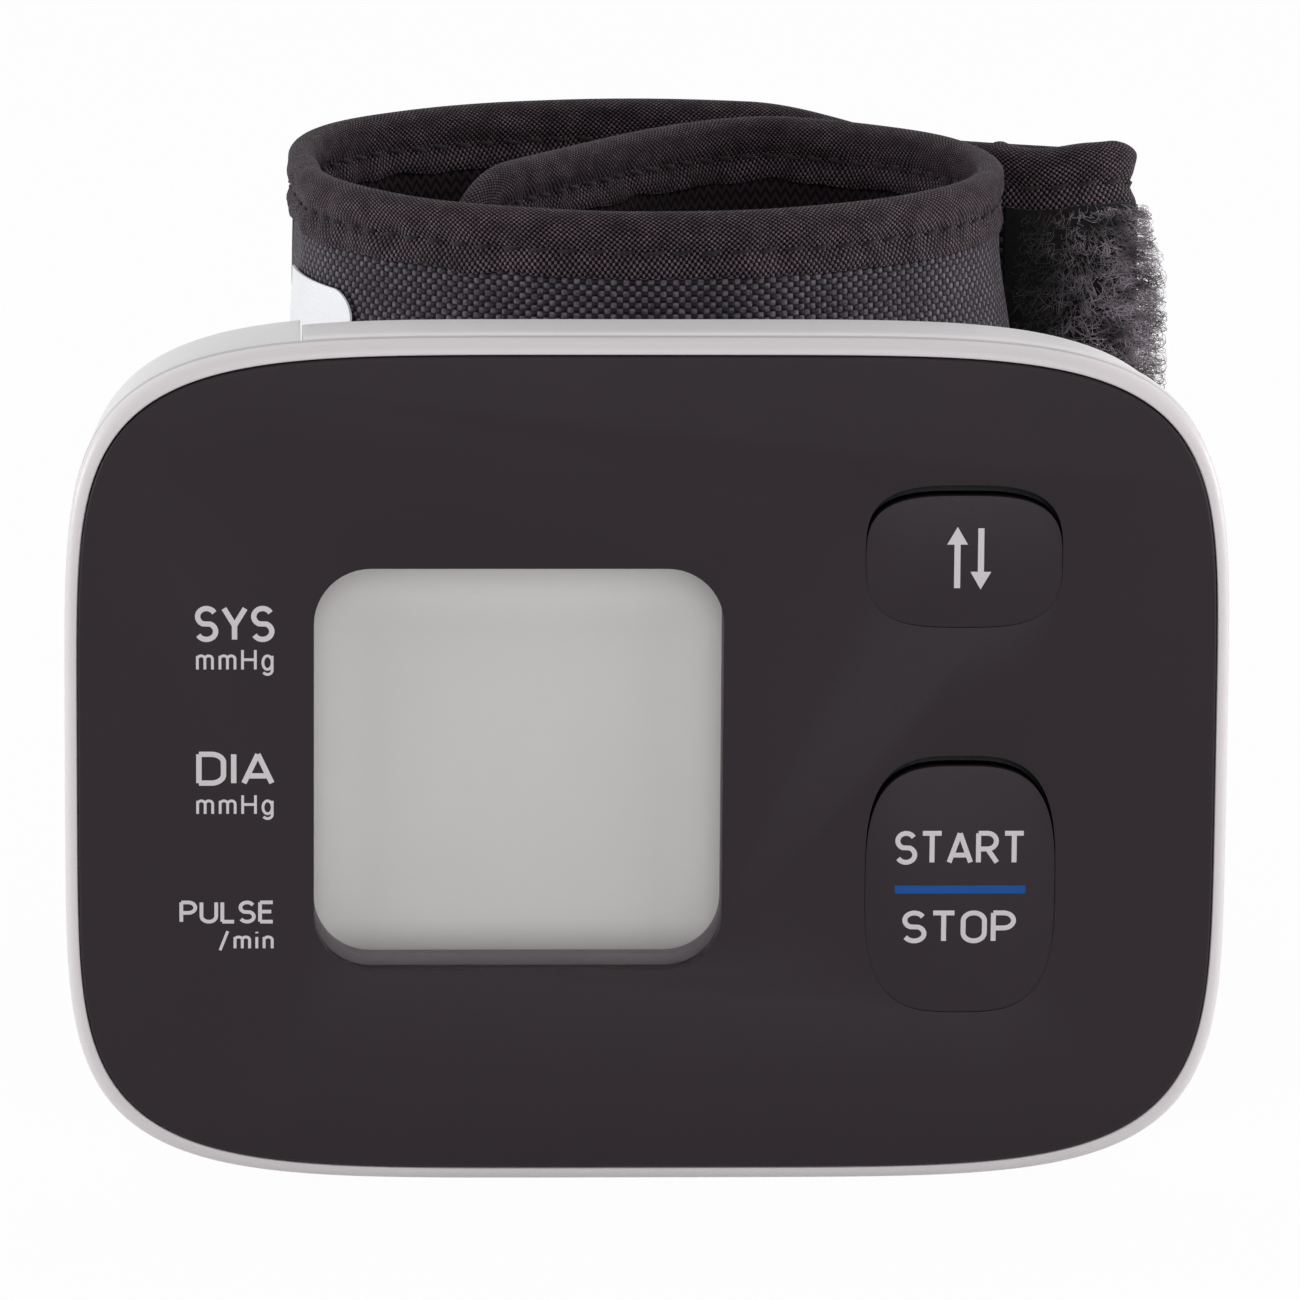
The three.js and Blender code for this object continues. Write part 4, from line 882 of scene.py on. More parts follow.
def make_battery_door():
    piece = back_shell(
        "battery_door",
        [
            (WALL, CASE_DEPTH + SHADOW_GAP + SEAM),
            (SHADOW_DEPTH - SEAM, CASE_DEPTH + SHADOW_GAP + SEAM),
            (SHADOW_DEPTH - SEAM, CASE_DEPTH + SEAM),
            (SEAM, CASE_DEPTH + SEAM),
            (DOOR_BREAK[0], CASE_DEPTH + SEAM + DOOR_BREAK[1]),
            (0, CASE_DEPTH + 2 * SEAM),
        ],
        tub_corner(BACK_DRAFT, LEDGE + BACK_INSET, BACK_ROUND),
        tub_corner(WALL, LEDGE + BACK_INSET, BACK_ROUND - WALL),
    )
    carve(piece, cover_region("tool_region", 0), "INTERSECT")
    back = REAR_INNER - SEAM
    carve(piece, block(
        "tool", COVER_TONGUE_X - LATCH_ROOT, COVER_TONGUE_X + LATCH_REACH, back - LATCH_THICKNESS, back,
        MID_Z - LATCH_WIDTH / 2, MID_Z + LATCH_WIDTH / 2,
    ), "UNION")
    carve(piece, block(
        "tool", COVER_TONGUE_X - LATCH_ROOT, COVER_TONGUE_X - SEAM,
        back - LATCH_THICKNESS / 2, BODY_DEPTH - WALL / 2,
        MID_Z - LATCH_WIDTH / 2 + EDGE_BREAK, MID_Z + LATCH_WIDTH / 2 - EDGE_BREAK,
    ), "UNION")
    soften(piece, DOOR_SOFT, angle=60)
    skin(piece, cover_white)
    settle(piece, "battery_door", "cover", "battery_cover")


def make_display():
    lens = window_plate("lens", LENS_LIP, PANEL, PANEL + LENS_THICKNESS)
    soften(lens, LENS_SOFT)
    skin(lens, clear_lens())
    settle(lens, "housing", "window", "display_window")
    holder = window_plate("display_frame", HOLDER_RIM, CASE_DEPTH, GLASS_BACK)
    carve(holder, plate(
        "tool", WINDOW_X, WINDOW_Z + HOLDER_SILL / 2, WINDOW_WIDTH, WINDOW_HEIGHT - HOLDER_SILL,
        WINDOW_CORNER, 0, BODY_DEPTH,
    ))
    carve(holder, window_plate("tool", GLASS_LIP + SEAM, GLASS_FRONT, BODY_DEPTH))
    soften(holder, HOLDER_SOFT)
    skin(holder, holder_grey)
    settle(holder, "housing", "holder", "display_holder")


def make_button(key):
    z, width, height, _ = BUTTONS[key]
    cap_width = width - 2 * BUTTON_GAP
    cap_height = height - 2 * BUTTON_GAP - BUTTON_TOP_GAP
    cap_z = z - BUTTON_TOP_GAP / 2
    cap_back = FLANGE_BACK - EDGE_BREAK
    piece = cushion(f"{key}_cap", BUTTON_X, cap_z, cap_width, cap_height, BUTTON_SINK, cap_back)
    carve(piece, button_plate("tool", key, BUTTON_FLANGE, FLANGE_FRONT, FLANGE_BACK), "UNION")
    seat = bolt("tool", BUTTON_X, z, PLUNGER_SEAT_RADIUS, FLANGE_FRONT + OVERLAP, PLUNGER_FRONT)
    carve(piece, seat, "UNION")
    soften(piece, BUTTON_SOFT)
    skin(piece, button_black)
    settle(piece, f"{key}_key", "button", f"{key}_button")


# Lettering

# Places are pixels of the photograph, with a row's top and bottom; pens, ink and shapes are millimetres.
MIDDLE_ACROSS, MIDDLE_UP = 645.5, 765.2
PIXELS_ACROSS, PIXELS_UP = 13.82, 13.49
WORD_RIGHT, UNIT_LEFT, UNIT_RIGHT = 274, 196, 273
SYS_LEFT, SYS_ROW, SYS_UNIT_ROW = 195, (606, 642), (648.5, 675.5)
DIA_LEFT, DIA_ROW, DIA_UNIT_ROW = 196, (751, 785), (793.2, 819.2)
PULSE_LEFT, PULSE_ROW = 179, (900, 923)
RATE_LEFT, RATE_ROW = 218, (929.3, 951.3)
START_LEFT, START_RIGHT, START_ROW = 894, 1025, (831, 865)
STOP_LEFT, STOP_RIGHT, STOP_ROW = 902, 1016, (911, 944)
BAR_UP, ARROWS_ACROSS, ARROWS_UP = 889.8, 964, 559
HEAVY_PEN, KEY_PEN, PULSE_PEN, RATE_PEN, UNIT_PEN = 0.39, 0.36, 0.27, 0.21, 0.2
WIDE_GAP = 0.34
INK_FLATNESS, INK_FRONT, INK_BACK = 0.08, 0.02, 0.05
BAR_HEIGHT, BAR_CORNER = 0.6, 0.08
ARROW_ASIDE = 0.85
ARROW_SHAPE = [
    (-0.22, -2.2), (0.22, -2.2), (0.22, 1.0), (0.75, 1.0), (0, 2.3), (-0.75, 1.0), (-0.22, 1.0),
]


def across(pixel):
    return (pixel - MIDDLE_ACROSS) / PIXELS_ACROSS


def up(pixel):
    return MID_Z - (pixel - MIDDLE_UP) / PIXELS_UP


def arc(x, y, wide, tall, start, end, count=12):
    steps = [math.radians(start + (end - start) * i / count) for i in range(count + 1)]
    return [(x + wide * math.cos(a), y + tall * math.sin(a)) for a in steps]


def arch(left, right, low, top):
    middle, half = (left + right) / 2, (right - left) / 2
    return arc(middle, top - half, half, half, 180, 0) + [(right, low)]


ROUND_O = (
    arc(0.29, 0.71, 0.29, 0.29, 90, 0) + arc(0.29, 0.29, 0.29, 0.29, 0, -180)
    + arc(0.29, 0.71, 0.29, 0.29, 180, 90)
)
BOWL = [(0, 1), (0.26, 1)] + arc(0.28, 0.73, 0.27, 0.27, 90, -90) + [(0, 0.46)]
STEM = [(0, 0), (0, 1)]
GLYPHS = {
    "S": (0.54, [arc(0.27, 0.74, 0.26, 0.26, 28, 245) + arc(0.27, 0.26, 0.27, 0.26, 65, -152)]),
    "Y": (0.62, [[(0, 1), (0.31, 0.45)], [(0.62, 1), (0.31, 0.45)], [(0.31, 0), (0.31, 0.48)]]),
    "D": (0.58, [STEM, [(0, 1), (0.24, 1)] + arc(0.29, 0.71, 0.29, 0.29, 90, 0)
                 + arc(0.29, 0.29, 0.29, 0.29, 0, -90) + [(0, 0)]]),
    "I": (0.0, [STEM]),
    "A": (0.66, [[(0, 0), (0.33, 1)], [(0.66, 0), (0.33, 1)], [(0.11, 0.25), (0.55, 0.25)]]),
    "P": (0.55, [STEM, BOWL]),
    "R": (0.57, [STEM, BOWL, [(0.28, 0.46), (0.57, 0)]]),
    "U": (0.58, [[(0, 1), (0, 0.29)] + arc(0.29, 0.29, 0.29, 0.29, 180, 360) + [(0.58, 1)]]),
    "L": (0.46, [STEM, [(0, 0), (0.46, 0)]]),
    "E": (0.50, [STEM, [(0, 0), (0.50, 0)], [(0, 1), (0.50, 1)], [(0, 0.52), (0.44, 0.52)]]),
    "T": (0.58, [[(0, 1), (0.58, 1)], [(0.29, 0), (0.29, 1)]]),
    "O": (0.58, [ROUND_O]),
    "H": (0.58, [STEM, [(0.58, 0), (0.58, 1)], [(0, 0.5), (0.58, 0.5)]]),
    "m": (0.68, [[(0, 0), (0, 0.7)], arch(0, 0.34, 0, 0.7), arch(0.34, 0.68, 0, 0.7)]),
    "n": (0.38, [[(0, 0), (0, 0.7)], arch(0, 0.38, 0, 0.7)]),
    "i": (0.0, [[(0, 0), (0, 0.7)], [(0, 0.93), (0, 1.02)]]),
    "g": (0.42, [arc(0.21, 0.35, 0.21, 0.35, 0, 360, 24),
                 [(0.42, 0.7), (0.42, -0.05)] + arc(0.21, -0.05, 0.21, 0.21, 0, -150)]),
    "/": (0.36, [[(0, -0.12), (0.36, 1.06)]]),
}


def ink_stroke(points, width, face):
    """One pen stroke as a flat raised line of ink."""
    line = bpy.data.curves.new("stroke", "CURVE")
    line.dimensions = "3D"
    line.bevel_depth = width / 2 * MM
    line.bevel_resolution = 2
    line.use_fill_caps = True
    spline = line.splines.new("POLY")
    spline.points.add(len(points) - 1)
    for point, (x, z) in zip(spline.points, points):
        point.co = (*place(x, face, z), 1)
    piece = added("stroke", line)
    pick(piece)
    bpy.ops.object.convert(target="MESH")
    level = place(0, face, 0).y
    for vertex in piece.data.vertices:
        vertex.co.y = level + (vertex.co.y - level) * INK_FLATNESS
    return piece


def letter(words, left, right, row, face, width, gap=0.24):
    """Words drawn in plain strokes between the given edges of the photograph."""
    top, bottom = row
    strokes, at = [], 0.0
    for sign in words:
        wide, lines = GLYPHS[sign]
        strokes += [[(at + x, y) for x, y in line] for line in lines]
        at += wide + gap
    xs = [x for line in strokes for x, _ in line]
    ys = [y for line in strokes for _, y in line]
    x0, x1 = across(left) + width / 2, across(right) - width / 2
    z0, z1 = up(bottom) + width / 2, up(top) - width / 2
    wide, tall = (x1 - x0) / (max(xs) - min(xs)), (z1 - z0) / (max(ys) - min(ys))
    return [
        ink_stroke([(x0 + (x - min(xs)) * wide, z0 + (y - min(ys)) * tall) for x, y in line], width, face)
        for line in strokes
    ]


def joined(name, pieces):
    bpy.ops.object.select_all(action="DESELECT")
    for piece in pieces:
        piece.select_set(True)
    bpy.context.view_layer.objects.active = pieces[0]
    if len(pieces) > 1:
        bpy.ops.object.join()
    return named(name)


def make_lettering():
    scale = joined("panel_print", [
        *letter("SYS", SYS_LEFT, WORD_RIGHT, SYS_ROW, 0, HEAVY_PEN),
        *letter("mmHg", UNIT_LEFT, UNIT_RIGHT, SYS_UNIT_ROW, 0, UNIT_PEN, WIDE_GAP),
        *letter("DIA", DIA_LEFT, WORD_RIGHT, DIA_ROW, 0, HEAVY_PEN),
        *letter("mmHg", UNIT_LEFT, UNIT_RIGHT, DIA_UNIT_ROW, 0, UNIT_PEN, WIDE_GAP),
        *letter("PULSE", PULSE_LEFT, WORD_RIGHT, PULSE_ROW, 0, PULSE_PEN),
        *letter("/min", RATE_LEFT, UNIT_RIGHT, RATE_ROW, 0, RATE_PEN, WIDE_GAP),
    ])
    skin(scale, print_pale, FINE_SMOOTH)
    settle(scale, "housing", "button")
    words = joined("start_print", [
        *letter("START", START_LEFT, START_RIGHT, START_ROW, BUTTON_SINK, KEY_PEN),
        *letter("STOP", STOP_LEFT, STOP_RIGHT, STOP_ROW, BUTTON_SINK, KEY_PEN),
    ])
    skin(words, print_pale, FINE_SMOOTH)
    settle(words, "start_key", "button")
    left, right = across(START_LEFT), across(START_RIGHT)
    bar = plate(
        "start_bar", (left + right) / 2, up(BAR_UP), right - left, BAR_HEIGHT, BAR_CORNER,
        BUTTON_SINK - INK_FRONT, BUTTON_SINK + INK_BACK,
    )
    skin(bar, print_blue)
    settle(bar, "start_key", "button")
    arrows = []
    for side, rise in ((-1, 1), (1, -1)):
        x, z = across(ARROWS_ACROSS) + side * ARROW_ASIDE, up(ARROWS_UP)
        ring = [place(x + dx, BUTTON_SINK - INK_FRONT, z + rise * dz) for dx, dz in ARROW_SHAPE]
        arrows.append(slab("arrow", ring, INK_FRONT + INK_BACK))
    mark = joined("transfer_mark", arrows)
    skin(mark, print_pale)
    settle(mark, "transfer_key", "button")


# Cuff

def turn_point(degrees):
    angle = math.radians(degrees)
    lift = LAYER_PITCH * smooth(-degrees, -LIFT_START, -LIFT_END)
    return np.array([LOOP_X + (PATH_A + lift) * math.cos(angle), LOOP_Y + (PATH_B + lift) * math.sin(angle)])


def turn_heading(degrees):
    step = turn_point(degrees - 0.5) - turn_point(degrees + 0.5)
    return step / np.linalg.norm(step)


def bend(a, b, c, d, count):
    t = np.linspace(0, 1, count)[:, None]
    return (1 - t) ** 3 * a + 3 * (1 - t) ** 2 * t * b + 3 * (1 - t) * t * t * c + t ** 3 * d


def ease(value, low, high):
    part = np.clip((value - low) / (high - low), 0, 1)
    return part * part * (3 - 2 * part)


INNER_POINTS, FIXED_POINTS, FLAP_POINTS, OUT_POINTS, BACK_POINTS = 80, 320, 160, 60, 50
TIP_X, TIP_BACK, TIP_TURN = -14.4, 15.6, math.radians(55)
TIP_PULL, TURN_PULL = 15, 9
FOLD_PULL, END_PULL = np.array([0, 4.3]), np.array([1.04, -3.86])
LEAN_FROM, LEAN_TO = 38, 68


class Run:
    """The strip's middle line in plan. Its upper edge leans out round one place and dips along the way."""

    def __init__(self, points):
        self.points = np.array(points)
        steps = np.linalg.norm(np.diff(self.points, axis=0), axis=1)
        self.along = np.concatenate([[0], np.cumsum(steps)])
        self.length = self.along[-1]
        heading = np.gradient(self.points, self.along, axis=0)
        heading /= np.linalg.norm(heading, axis=1)[:, None]
        self.outward = np.stack([-heading[:, 1], heading[:, 0]], axis=1)
        self.lean = (0.0, 1.0, 0.0)
        self.dips = []

    def at(self, s, out, z):
        middle, reach, amount = self.lean
        out = out + amount * ease(z, LEAN_FROM, LEAN_TO) * (1 - ease(np.abs(s - middle), 0, reach))
        dip = sum((b[1] - a[1]) * ease(s, a[0], b[0]) for a, b in zip(self.dips, self.dips[1:]))
        z = z * (1 - dip / CUFF_WIDTH)
        x, y = (np.interp(s, self.along, self.points[:, k]) for k in (0, 1))
        nx, ny = (np.interp(s, self.along, self.outward[:, k]) for k in (0, 1))
        return np.stack([x + nx * out, y + ny * out - HALF_DEPTH, z], axis=-1) * MM


def cuff_runs():
    tip = np.array([TIP_X, BODY_DEPTH + TIP_BACK])
    tip_pull = TIP_PULL * np.array([math.cos(TIP_TURN), math.sin(TIP_TURN)])
    join = turn_point(INNER_LEAVE)
    inner = bend(tip, tip + tip_pull, join - TURN_PULL * turn_heading(INNER_LEAVE), join, INNER_POINTS)
    fixed = [turn_point(d) for d in np.linspace(INNER_LEAVE, HINGE_ANGLE, FIXED_POINTS)]
    flap = [turn_point(d) for d in np.linspace(HINGE_ANGLE, TAIL_LEAVE, FLAP_POINTS)]
    start = turn_point(TAIL_LEAVE)
    fold = np.array([TAIL_X, BODY_DEPTH + TAIL_BACK])
    end = np.array([TAIL_END_X, BODY_DEPTH + TAIL_END_BACK])
    out = bend(start, start + TURN_PULL * turn_heading(TAIL_LEAVE), fold + FOLD_PULL, fold, OUT_POINTS)
    back = bend(fold, fold - FOLD_PULL, end + END_PULL, end, BACK_POINTS)
    return Run(list(inner) + fixed[1:]), Run(flap + list(out[1:]) + list(back[1:]))


FIXED, FLAP = cuff_runs()


def fixed_s(degrees):
    """How far along the fixed part a place on the turn lies."""
    turn = np.linspace(INNER_LEAVE, HINGE_ANGLE, FIXED_POINTS)
    return float(np.interp(-degrees, -turn, FIXED.along[INNER_POINTS - 1:]))


def flap_s(degrees):
    turn = np.linspace(HINGE_ANGLE, TAIL_LEAVE, FLAP_POINTS)
    return float(np.interp(-degrees, -turn, FLAP.along[:FLAP_POINTS]))


FOLD_S = float(FLAP.along[FLAP_POINTS + OUT_POINTS - 2])
FIXED_LEAN_TURN, FIXED_LEAN_REACH, FIXED_LEAN = -92, 38.0, 1.7
FLAP_LEAN_TURN, FLAP_LEAN_REACH, FLAP_LEAN = -268, 34.0, 1.4
FIXED.lean = (fixed_s(FIXED_LEAN_TURN), FIXED_LEAN_REACH, FIXED_LEAN)
FLAP.lean = (flap_s(FLAP_LEAN_TURN), FLAP_LEAN_REACH, FLAP_LEAN)
TAIL_DIP, FOLD_DIPS = 1.5, ((-5, 1.5), (-1, 1.0), (2.6, 0.0), (4.5, 0.0), (9, 0.5))
END_DIP = 0.3
FLAP.dips = [
    (flap_s(HOOK_TURN), 0.0),
    (flap_s(TAIL_LEAVE), TAIL_DIP),
    *((FOLD_S + past, dip) for past, dip in FOLD_DIPS),
    (FLAP.length, END_DIP),
]


def face_outward(piece):
    pick(piece)
    bpy.ops.object.mode_set(mode="EDIT")
    close_shape()


def put_points(piece, run, s, out, z):
    piece.data.vertices.foreach_set("co", run.at(s, out, z).astype(np.float32).ravel())
    piece.data.update()


def lay_strip(name, run, first, last, columns, rows, shape, thickness, edge=None):
    """A grid laid along the run; shape gives outward distance and height, then the cloth gets its thickness.
    With an edge line, the grid goes along that edge, and shape gives outward distance and depth from it."""
    bpy.ops.mesh.primitive_grid_add(x_subdivisions=columns, y_subdivisions=rows, size=1)
    piece = named(name)
    grid = [(v.co.x + 0.5, v.co.y + 0.5) for v in piece.data.vertices]
    along = np.array([first + u * (last - first) for u, _ in grid])
    formed = np.array([shape(a, v) for a, (_, v) in zip(along, grid)])
    if edge is None:
        put_points(piece, run, along, formed[:, 0], formed[:, 1])
    else:
        s, z, inward_s, inward_z = edge(along)
        put_points(piece, run, s + inward_s * formed[:, 1], formed[:, 0], z + inward_z * formed[:, 1])
    apply(piece, "SOLIDIFY", thickness=thickness * MM, offset=1.0)
    face_outward(piece)
    return piece


def wander(s, z, seed, scale_s, scale_z):
    return noise.noise(Vector((s / scale_s, z / scale_z, seed)))


def corner_drop(from_end):
    """How far the long edges are cut back near the rounded inner end."""
    if from_end >= END_CORNER:
        return 0.0
    reach = END_CORNER - max(from_end, 0.0)
    return END_CORNER - math.sqrt(max(END_CORNER ** 2 - reach ** 2, 0.0))


def pad_out(s, z):
    across_pad = smooth(z, PAD_SIDE, PAD_SIDE_FULL)
    across_pad *= 1 - smooth(z, CUFF_WIDTH - PAD_SIDE_FULL, CUFF_WIDTH - PAD_SIDE)
    along_pad = smooth(s, 0, PAD_START) * (1 - smooth(s, FIXED.length - PAD_END, FIXED.length))
    return EDGE_HALF + BULGE * across_pad * along_pad


EDGE_NEAR, EDGE_FAR = 4, 16
END_TUCK, END_TUCK_REACH = 1.0, 2
EDGE_TUCK, TUCK_FROM, TUCK_TO = 0.5, 3.4, 5.4
RIPPLE, EDGE_RIPPLE, CLOTH_SINK = 0.12, 0.14, 0.1


def edge_near(z):
    return 1 - smooth(min(z, CUFF_WIDTH - z), EDGE_NEAR, EDGE_FAR)


def cover_shape(side, rounded):
    def shape(s, v):
        low = CLOTH_INSET + (corner_drop(s) if rounded else 0.0)
        z = low + v * (CUFF_WIDTH - 2 * low)
        out = pad_out(s, z) if rounded else EDGE_HALF
        if side < 0 and not rounded:
            out -= END_TUCK * (1 - smooth(FLAP.length - s, 0, END_TUCK_REACH))
        out -= EDGE_TUCK * (1 - smooth(min(z, CUFF_WIDTH - z), TUCK_FROM, TUCK_TO))
        ripple = RIPPLE * wander(s, z, 3.0 + side, 9, 16)
        ripple += EDGE_RIPPLE * edge_near(z) * wander(s, z, 9.0 + side, 3, 10)
        return side * (out + ripple - CLOTH_SINK), z
    return shape


def long_edge(run, top):
    """One long edge of the strap: place, height and the way to the cloth for each distance along it."""
    def line(t):
        t = np.asarray(t, dtype=float)
        nothing = np.zeros_like(t)
        if top:
            return t, nothing + CUFF_WIDTH, nothing, nothing - 1
        return run.length - t, nothing, nothing, nothing + 1
    return line, run.length


def round_edge(run):
    """The bound edge as one line: along the lower edge, round the inner end and back along the upper edge."""
    length, r = run.length, END_CORNER
    straight, quarter, end = length - r, r * math.pi / 2, CUFF_WIDTH - 2 * r
    marks = np.cumsum([0, straight, quarter, end, quarter, straight])

    def line(t):
        t = np.asarray(t, dtype=float)
        s, z, inward_s, inward_z = (np.zeros_like(t) for _ in range(4))
        part = t < marks[1]
        s[part], inward_z[part] = length - t[part], 1
        part = (t >= marks[2]) & (t < marks[3])
        z[part], inward_s[part] = r + t[part] - marks[2], 1
        for first, angle, middle in ((1, math.pi * 1.5, r), (3, math.pi, CUFF_WIDTH - r)):
            part = (t >= marks[first]) & (t < marks[first + 1])
            a = angle - (t[part] - marks[first]) / r
            s[part], z[part] = r + r * np.cos(a), middle + r * np.sin(a)
            inward_s[part], inward_z[part] = -np.cos(a), -np.sin(a)
        part = t >= marks[4]
        s[part], z[part], inward_z[part] = r + t[part] - marks[4], CUFF_WIDTH, -1
        return s, z, inward_s, inward_z
    return line, float(marks[-1])


def tape_half(depth):
    rounded = math.sqrt(1 - (1 - min(depth / TAPE_ROUND, 1)) ** 2)
    return TAPE_HALF * rounded


HEM, HEM_WIDTH, HEM_WANDER, HEM_FROM, HEM_TO = 0.16, 0.5, 0.40, 2, 4.5
LOOSE_FROM, LOOSE_TO, SHORT_SLACK, LONG_SLACK = 0.4, 1.8, 0.34, 0.24
CREST_WANDER, CREST_WIDTH, CREST_SINK = 0.10, 3, 0.1
CUT_FROM, CUT_TO = 0.3, 1.8


def tape_shape(seed, cut):
    """A folded tape, drawn in along its stitches and a little uneven; a cut end's inner face is tucked in."""
    def shape(t, v):
        side = 1 if v < 0.5 else -1
        depth = TAPE_HEIGHT * abs(2 * v - 1) ** TAPE_FOLD_POWER
        drawn_in = math.exp(-((depth - STITCH_DEPTH) / WAIST_WIDTH) ** 2)
        between = 0.5 + 0.5 * math.cos(2 * math.pi * t / STITCH_PITCH)
        out = tape_half(depth) - drawn_in * (WAIST_DEPTH + WAIST_PUCKER * between)
        out -= HEM * smooth(depth, TAPE_HEIGHT - HEM_WIDTH, TAPE_HEIGHT)
        loose = smooth(depth, LOOSE_FROM, LOOSE_TO)
        slack = SHORT_SLACK * loose * wander(t, depth * side, seed, 2.2, 3)
        slack += LONG_SLACK * loose * wander(t, 0, seed + side, 7, 1)
        out += slack
        out = max(out, 0.0)
        if cut is not None and side < 0:
            tucked = (out + CUT_TUCK) * (1 - smooth(abs(t - cut), 0, CUT_REACH))
            out -= tucked * smooth(depth, CUT_FROM, CUT_TO)
        depth += HEM_WANDER * smooth(depth, HEM_FROM, HEM_TO) * wander(t, side, seed + 4, 3.5, 1)
        crest = CREST_WANDER * wander(t, 0, seed + 8, 11, 1)
        depth += crest * (1 - smooth(depth, 0, CREST_WIDTH)) + CREST_SINK
        return side * out, depth
    return shape


def tape_width():
    depths = [TAPE_HEIGHT * (i / 60) ** TAPE_FOLD_POWER for i in range(61)]
    points = [(tape_half(d), d) for d in depths]
    return 2 * sum(math.dist(a, b) for a, b in zip(points, points[1:]))


def stitch_row(name, run, edge, total, side, form):
    """One thread stitch modelled and copied along the tape, where the tape's form has its face."""
    bpy.ops.mesh.primitive_uv_sphere_add(segments=8, ring_count=6, radius=0.5)
    pattern = named("stitch")
    bpy.ops.object.mode_set(mode="EDIT")
    bpy.ops.mesh.select_all(action="SELECT")
    bpy.ops.transform.rotate(value=math.pi / 2, orient_axis="Y", center_override=(0, 0, 0))
    thread = STITCH_THICKNESS * MM
    bpy.ops.transform.resize(value=(STITCH_LENGTH * MM, thread, thread), center_override=(0, 0, 0))
    bpy.ops.object.mode_set(mode="OBJECT")
    shape = np.array([v.co for v in pattern.data.vertices]) / MM
    at_stitch = 0.5 - side * 0.5 * (STITCH_DEPTH / TAPE_HEIGHT) ** (1 / TAPE_FOLD_POWER)
    copies = []
    for t in np.arange(0.5, total / STITCH_PITCH - 0.5) * STITCH_PITCH:
        s, z, inward_s, inward_z = edge(t + shape[:, 0])
        depth = STITCH_DEPTH + shape[:, 1] + STITCH_SLANT * shape[:, 0]
        face = np.array([abs(form(t + a, at_stitch)[0]) for a in shape[:, 0]]) + STITCH_LIFT
        spots = run.at(s + inward_s * depth, side * (face + shape[:, 2]), z + inward_z * depth)
        copy = added("stitch", pattern.data.copy())
        copy.data.vertices.foreach_set("co", spots.astype(np.float32).ravel())
        copies.append(copy)
    bpy.data.objects.remove(pattern)
    piece = joined(name, copies)
    face_outward(piece)
    skin(piece, thread_dark, FINE_SMOOTH)
    return piece


BEND_START_X, BEND_START_Y, BEND_END_X, BEND_END_Y = -23.9, 50.0, -15.0, 61.3
FLAP_BEND = (place(BEND_START_X, BEND_START_Y, 0), place(BEND_END_X, BEND_END_Y, 0))


def carry_flap(piece, slot, *nodes):
    """Cloth that starts on the fixed part and lies on the flap past its first bend: bakes its place into its
    mesh and hides the frame's parts it stands for.
    """
    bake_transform(piece)
    if nodes:
        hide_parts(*nodes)


def lay_cloths(word, run, first, last, rounded, cloths, carry):
    for side, face, node_name, slot, cloth in (
        (1, "outside", "cover", "nylon", cloths[0]), (-1, "inside", "lining", "lining", cloths[1]),
    ):
        columns, form = int(run.length * CLOTH_COLUMNS), cover_shape(side, rounded)
        sheet = lay_strip(f"{word}_{face}", run, first, last, columns, CLOTH_ROWS, form, side * CLOTH)
        skin(sheet, cloth, CLOTH_SMOOTH)
        carry(sheet, slot, f"{word}_{node_name}")


def bind_edge(name, run, edge, total, seed, cloth, carry, *nodes, cut=None):
    """The folded tape along an edge with its stitches on both faces."""
    form = tape_shape(seed, cut)
    tape = lay_strip(name, run, 0, total, int(total * TAPE_COLUMNS), TAPE_ROWS, form, TAPE_WALL, edge)
    skin(tape, cloth, TAPE_SMOOTH)
    carry(tape, "binding", *nodes)
    tape_width()
    for side, face in ((1, "outer"), (-1, "inner")):
        carry(stitch_row(f"{name}_stitches_{face}", run, edge, total, side, form), "binding")


